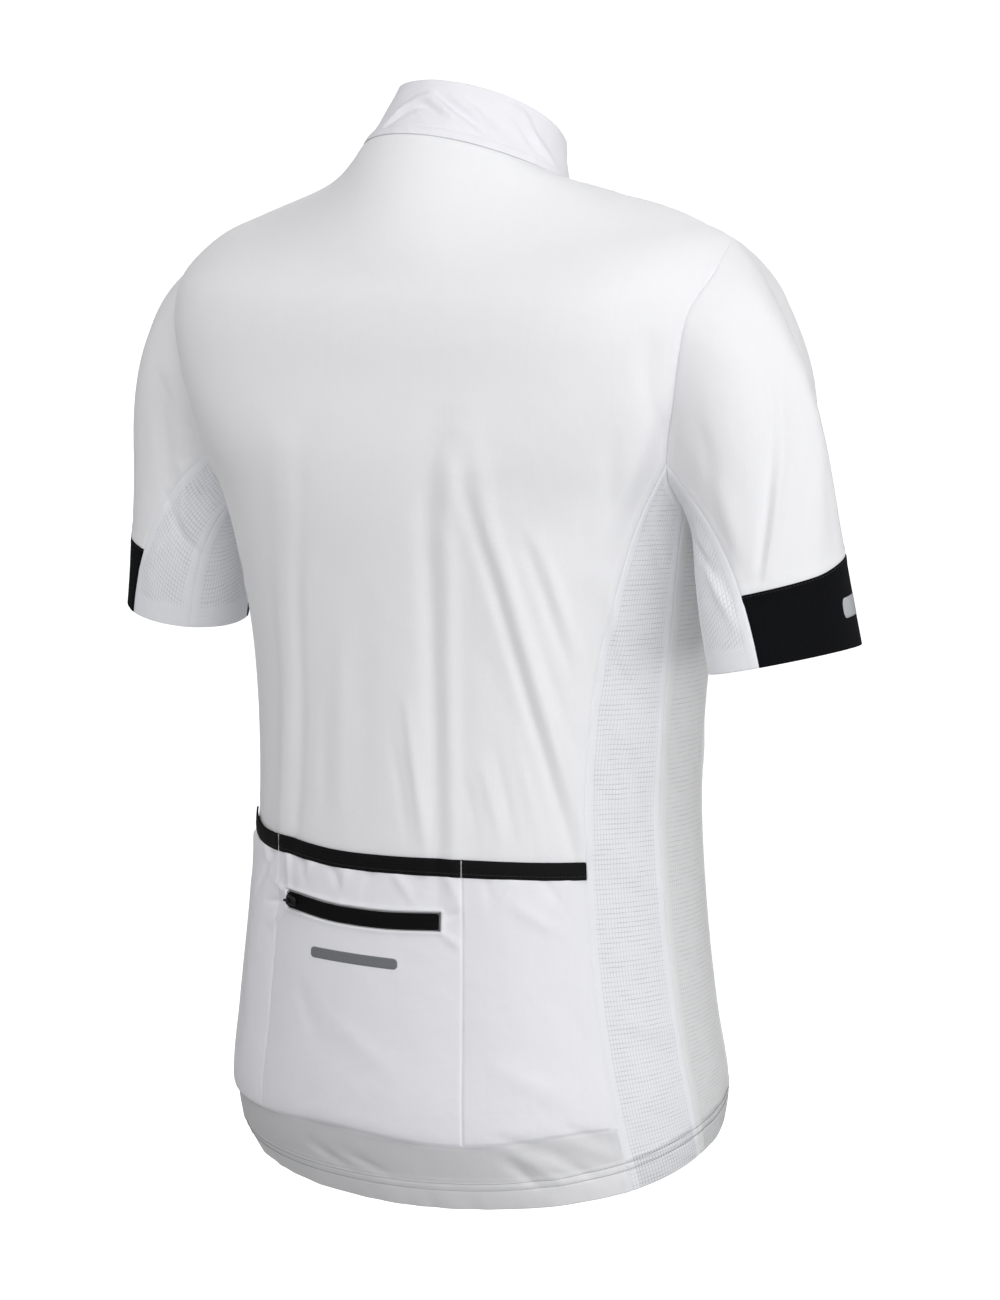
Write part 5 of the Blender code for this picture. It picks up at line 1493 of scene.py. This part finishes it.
BAR_OUT, BAR_THICK = 0.16 * MM, 0.22 * MM
BAR_MIDDLE, BAR_HALF = (3.0, 0.1635), (12.2, 3.6 * MM)  # angle in degrees, height
CUFF_BAR_TURNS, CUFF_BAR_REACH = (141.0, 186.0), (0.880, 0.928)


def printed_bar(name, points, normals, material):
    """A thin reflective print that lies on cloth, from a grid of points."""
    placed(shell(name, points + BAR_OUT * normals, normals, material, BAR_THICK))


def rounded(count_across, count_along, corner_share):
    """Grid shares of a bar whose ends are rounded."""
    u = np.linspace(-1, 1, count_across)[None, :]
    v = np.linspace(-1, 1, count_along)[:, None]
    from_end = np.clip((1 - np.abs(u)) / corner_share, 0, 1)
    return u + 0 * v, v * (0.45 + 0.55 * np.sqrt(1 - (1 - from_end) ** 2))


bar_u, bar_v = rounded(61, 7, 0.10)
bar = pocket_cloth(BAR_MIDDLE[0] + BAR_HALF[0] * bar_u, BAR_MIDDLE[1] + BAR_HALF[1] * bar_v)
printed_bar("pocket_reflective_bar", *bar, POCKET_PRINT_SHADED_COPY)

bar_u, bar_v = rounded(41, 9, 0.14)
bar_turns, bar_reach = np.interp(bar_u[0], [-1, 1], CUFF_BAR_TURNS), np.interp(bar_v, [-1, 1], CUFF_BAR_REACH)
bar_points, bar_normals, _, _ = sleeve_cloth(bar_turns, bar_reach, RIGHT)
printed_bar("cuff_reflective_bar", bar_points * (-1, 1, 1), bar_normals * (-1, 1, 1), CUFF_PRINT_LIT_COPY)

# ---------------- front zip

FRONT_ROWS, FRONT_NECK_ROWS, FRONT_COLUMNS = 241, 17, 9
FRONT_TAPE_DOWN = 0.35 * MM
FRONT_COIL_HALF, FRONT_COIL_PITCH = 1.15 * MM, 1.25 * MM
BESIDE_ZIP = (EDGE_ROW, 6.0 * MM)  # two rows of stitches on each front


def over_front(edges, angle_shares):
    """Angles across the front zip, between its two edges."""
    return math.pi - (math.pi - edges[:, None]) * angle_shares


def front_zip():
    """The tape up the front and the collar, and its teeth up to the slider."""
    rise = np.linspace(0, NECK_UP, FRONT_ROWS)
    neck_rise = np.linspace(0, 1, FRONT_NECK_ROWS)[1:]
    shares = np.linspace(-1, 1, FRONT_COLUMNS)
    body = torso_cloth(over_front(front_edge(rise), shares), rise[:, None])
    neck = collar_cloth(over_front(front_edge(neck_rise, COLLAR_RINGS), shares), neck_rise[:, None])
    points, normals = joined(body[0], neck[0]), joined(body[1], neck[1])
    points = points - FRONT_TAPE_DOWN * normals
    across, up = runs(points)
    rests_on = ("front_left", "front_right")
    uvs = pairs(up, across)
    cloth_piece("front_zip_tape", points, normals, points, uvs, TAPE, TAPE_THICK, rests_on=rests_on)
    end = FRONT_ROWS + int(np.searchsorted(neck_rise, FRONT_SLIDER_AT)) + 1
    middle = FRONT_COLUMNS // 2
    return coil(points[:end, middle], unit(normals[:end, middle]), FRONT_COIL_HALF, FRONT_COIL_PITCH)


zip_teeth += front_zip()
for side_name, _ in SIDES:
    for distance in BESIDE_ZIP:
        white_threads.append(thread_row(*inset(*panels["front", side_name], "left", distance)))
teeth = joined_mesh("zip_coils", zip_teeth, TEETH)
placed(teeth, "zip_tape")

# ---------------- sliders and pull tabs

SLIDER_THICK, BRIDGE_CLEAR = 2.2 * MM, 2.2 * MM
HINGE_HEIGHT = SLIDER_THICK + BRIDGE_CLEAR / 2
# The way the tab lies, and the way out of the cloth.
SLIDER_FRAMES = {
    "pocket_zip": ((-0.96809, 0.24455, -0.05465), (0.24221, 0.96913, 0.04616)),
    "front_zip": ((0.0, 0.18395, -0.98294), (0.0, -0.98294, -0.18395)),
}
FRONT_TAB_FRAME = ((0.0, 0.0, -1.0), (0.0, -1.0, 0.0))
TAB_LONG = {"pocket_zip": 9.5 * MM, "front_zip": 17.0 * MM}


def axes_of(ways):
    """Axes across, along and out of a slider."""
    along, out = (unit(np.array(way)) for way in ways)
    return np.stack([np.cross(along, out), along, out])


def prism(loops, low, high):
    """A plate between two heights. One loop gives its outline; a second one a hole through it."""
    count = len(loops[0])
    levels = [np.column_stack([loop, np.full(count, z)]) for loop in loops for z in (low, high)]
    this, after = np.arange(count), np.roll(np.arange(count), -1)
    walls = [np.stack([this, after, after + count, this + count], axis=1)]
    if len(loops) == 1:
        middle = np.mean(loops[0], axis=0)
        levels.append([(*middle, low), (*middle, high)])
        below, above = np.full((2, count), 2 * count) + [[0], [1]]
        ends = [(after, this, below, below), (this + count, after + count, above, above)]
    else:
        hole, after_hole = this + 2 * count, after + 2 * count
        walls.append(np.stack([after_hole, hole, hole + count, after_hole + count], axis=1))
        ends = [(after, this, hole, after_hole)]
        ends.append((this + count, after + count, after_hole + count, hole + count))
    ends = [np.stack(end, axis=1) for end in ends]
    return np.concatenate(levels), np.concatenate(walls + ends)


def hard_piece(name, prisms, origin, axes, bevel, material):
    """Plates joined in one mesh with softened edges, placed in a frame."""
    points, faces, count = [], [], 0
    for some_points, some_faces in prisms:
        points.append(some_points)
        faces += [tuple(dict.fromkeys(face)) for face in (some_faces + count).tolist()]
        count += len(some_points)
    placed_points = origin + np.concatenate(points) @ axes
    made = new_mesh(name, placed_points, faces, material, None, None, 30.0)
    edges = made.modifiers.new("edges", "BEVEL")
    edges.width, edges.segments, edges.limit_method, edges.angle_limit = bevel, 2, "ANGLE", math.radians(40.0)
    return made


def rounded_box(x_low, x_high, y_low, y_high, radius, steps=4):
    """A rectangle's outline with round corners."""
    made = []
    for quarter, (sx, sy) in enumerate(((1, 1), (-1, 1), (-1, -1), (1, -1))):
        x, y = (x_high if sx > 0 else x_low) - sx * radius, (y_high if sy > 0 else y_low) - sy * radius
        for turn in math.pi / 2 * (quarter + np.arange(steps + 1) / steps):
            made.append((x + radius * math.cos(turn), y + radius * math.sin(turn)))
    return made


def slider_body(name, origin, axes):
    """Wide at the mouth where the teeth part, narrow at the tail, with a bridge over it."""
    wide, tail, half = 3.5 * MM, 2.4 * MM, 4.0 * MM
    shape = [
        (-tail, -half), (tail, -half), (tail + 0.3 * MM, -1.0 * MM), (wide, 1.6 * MM),
        (wide - 0.2 * MM, 3.2 * MM), (1.3 * MM, half), (0.0, 3.0 * MM), (-1.3 * MM, half),
        (-wide + 0.2 * MM, 3.2 * MM), (-wide, 1.6 * MM), (-tail - 0.3 * MM, -1.0 * MM),
    ]
    mirrored = [(x, -y) for x, y in shape[::-1]]
    plates = [prism([mirrored], 0.1 * MM, 0.8 * MM), prism([mirrored], 1.45 * MM, SLIDER_THICK)]
    neck = [(x * 0.45, y * 0.55) for x, y in mirrored]
    plates.append(prism([neck], 0.7 * MM, 1.5 * MM))
    bar, wide, far = 0.9 * MM, 0.8 * MM, 2.5 * MM
    top = SLIDER_THICK + BRIDGE_CLEAR + bar
    for y in (-far, far - bar):
        post = rounded_box(-wide, wide, y, y + bar, 0.2 * MM)
        plates.append(prism([post], SLIDER_THICK - 0.1 * MM, top - bar + 0.1 * MM))
    plates.append(prism([rounded_box(-wide, wide, -far, far, 0.4 * MM)], top - bar, top))
    return hard_piece(name, plates, origin, axes, 0.18 * MM, METAL)


def tab_plate(name, origin, axes, long):
    """A flat pull tab: a window round the slider's bridge, then a grip with three ridges."""
    half = 2.7 * MM
    outer = rounded_box(-half, half, -0.55 * MM, long, 1.3 * MM)
    window = rounded_box(-half + 1.2 * MM, half - 1.2 * MM, 0.55 * MM, 4.2 * MM, 0.5 * MM)
    plates = [prism([outer, window], -0.5 * MM, 0.5 * MM)]
    for k in range(3):
        y = long - 1.8 * MM - k * 1.1 * MM
        ridge = rounded_box(-1.7 * MM, 1.7 * MM, y - 0.28 * MM, y + 0.28 * MM, 0.2 * MM)
        plates.append(prism([ridge], 0.45 * MM, 0.68 * MM))
    return hard_piece(name, plates, origin, axes, 0.16 * MM, METAL)


JOINTS = {joint["child"]: joint for joint in frame["joints"]}
for name, child in (("pocket_zip", "pocket_pull"), ("front_zip", "front_pull")):
    hinge = np.array(JOINTS[child]["pos_m"], float)
    axes = axes_of(SLIDER_FRAMES[name])
    body = slider_body(f"{name}_slider_metal", hinge - HINGE_HEIGHT * axes[2], axes)
    placed(body, "dark_metal", (f"{name}_slider",))
    tab_axes = axes_of(FRONT_TAB_FRAME) if name == "front_zip" else axes
    tab = tab_plate(f"{name}_tab_metal", hinge, tab_axes, TAB_LONG[name])
    placed(tab, "dark_metal", (f"{name}_tab",), body=child)

# ---------------- threads

for name, threads, material in (
    ("white_stitching", white_threads, THREAD_WHITE),
    ("collar_seam_painted_shade_dots", painted_shade_dots, SEAM_DOTS_PAINTED_SHADE),
    ("hem_stitching", hem_threads, HEM_THREAD_PAINTED_SHADE),
    ("pocket_stitching", pocket_threads, THREAD_WHITE),
    ("black_stitching", black_threads, THREAD_BLACK),
):
    placed(joined_mesh(name, threads, material))

# ---------------- stage, camera, light


CAMERA_AZIMUTH, CAMERA_ELEVATION = math.radians(220.0), math.radians(6.2)
CAMERA_TARGET, CAMERA_AWAY = Vector((-0.0136, -0.0058, -0.3491)), 3.3
LENS, SENSOR = 134.35, 36.0


def heading(azimuth, elevation):
    """The way from the jersey to something round it."""
    level = math.cos(elevation)
    return Vector((math.sin(azimuth) * level, -math.cos(azimuth) * level, math.sin(elevation)))


def make_camera():
    """The camera at the photograph's viewing angle."""
    back_way = heading(CAMERA_AZIMUTH, CAMERA_ELEVATION)
    data = bpy.data.cameras.new("camera")
    data.lens, data.sensor_width = LENS, SENSOR
    camera = bpy.data.objects.new("camera", data)
    camera.location = CAMERA_TARGET + CAMERA_AWAY * back_way
    camera.rotation_euler = (-back_way).to_track_quat("-Z", "Y").to_euler()
    bpy.context.scene.collection.objects.link(camera)
    bpy.context.scene.camera = camera


make_camera()
FLOOR = -1.15
SWEEP = ((3.0, 0.0), (4.2, 0.15), (5.0, 0.8), (5.4, 2.0), (5.5, 4.5))  # radius, height above the floor
STAGE_SIDES = 96
WORLD_BELOW, WORLD_ABOVE, WORLD_TURNS = 0.41, 0.0, (-0.5, 0.3)  # its strength, and where that changes
LIGHT_AWAY, LIGHT_SIZE = 3.0, 1.6
LIGHTS = (
    # name, degrees to the right of the camera, degrees up, power
    ("low right", 45.0, 5.0, 22.0),
    ("low middle right", 15.0, 5.0, 20.0),
    ("low middle left", -20.0, 5.0, 22.0),
    ("high middle right", 15.0, 45.0, 19.0),
    ("high middle left", -20.0, 45.0, 11.0),
    ("high left", -90.0, 45.0, 29.5),
    ("high side right", 62.0, 45.0, 6.0),
    ("high right", 110.0, 45.0, 25.5),
    ("side right", 110.0, 5.0, 7.0),
    ("above", 0.0, 75.0, 4.0),
    ("front", 180.0, 20.0, 16.0),
)


def make_stage():
    """A pale floor that sweeps up to a wall all round. It doesn't light the jersey."""
    turns = 2 * np.pi * np.arange(STAGE_SIDES) / STAGE_SIDES
    points = [(r * math.cos(a), r * math.sin(a), FLOOR + z) for r, z in SWEEP for a in turns]
    faces = [tuple(range(STAGE_SIDES)), *tube_faces(len(SWEEP), STAGE_SIDES)]
    material, _, _ = finish(
        "pale_backdrop", Roughness=0.9, Emission_Strength=1.0, Base_Color=(0.9, 0.9, 0.9, 1.0),
        Emission_Color=(1.0, 1.0, 1.0, 1.0),
    )
    floor = new_mesh("floor", np.array(points), faces, material)
    floor.visible_diffuse = floor.visible_glossy = floor.visible_shadow = False


def make_lights():
    """Soft light from all sides, and some from below."""
    world = bpy.data.worlds.new("studio")
    bpy.context.scene.world = world
    world.use_nodes = True
    tree = world.node_tree
    way = node(tree, "ShaderNodeTexCoord").outputs["Generated"]
    height = node(tree, "ShaderNodeSeparateXYZ", {0: way}).outputs[2]
    strength = ranged(tree, height, *WORLD_TURNS, WORLD_BELOW, WORLD_ABOVE)
    ground = tree.nodes["Background"]
    ground.inputs["Color"].default_value = (1.0, 1.0, 1.0, 1.0)
    tree.links.new(strength, ground.inputs["Strength"])
    for name, right, up, power in LIGHTS:
        data = bpy.data.lights.new(name, "AREA")
        data.energy, data.size = power, LIGHT_SIZE
        lamp = bpy.data.objects.new(name, data)
        towards = heading(CAMERA_AZIMUTH + math.radians(right), math.radians(up))
        lamp.location = CAMERA_TARGET + LIGHT_AWAY * towards
        lamp.rotation_euler = towards.to_track_quat("Z", "Y").to_euler()
        bpy.context.scene.collection.objects.link(lamp)


make_stage()
make_lights()
bpy.context.scene.view_settings.view_transform = "Standard"
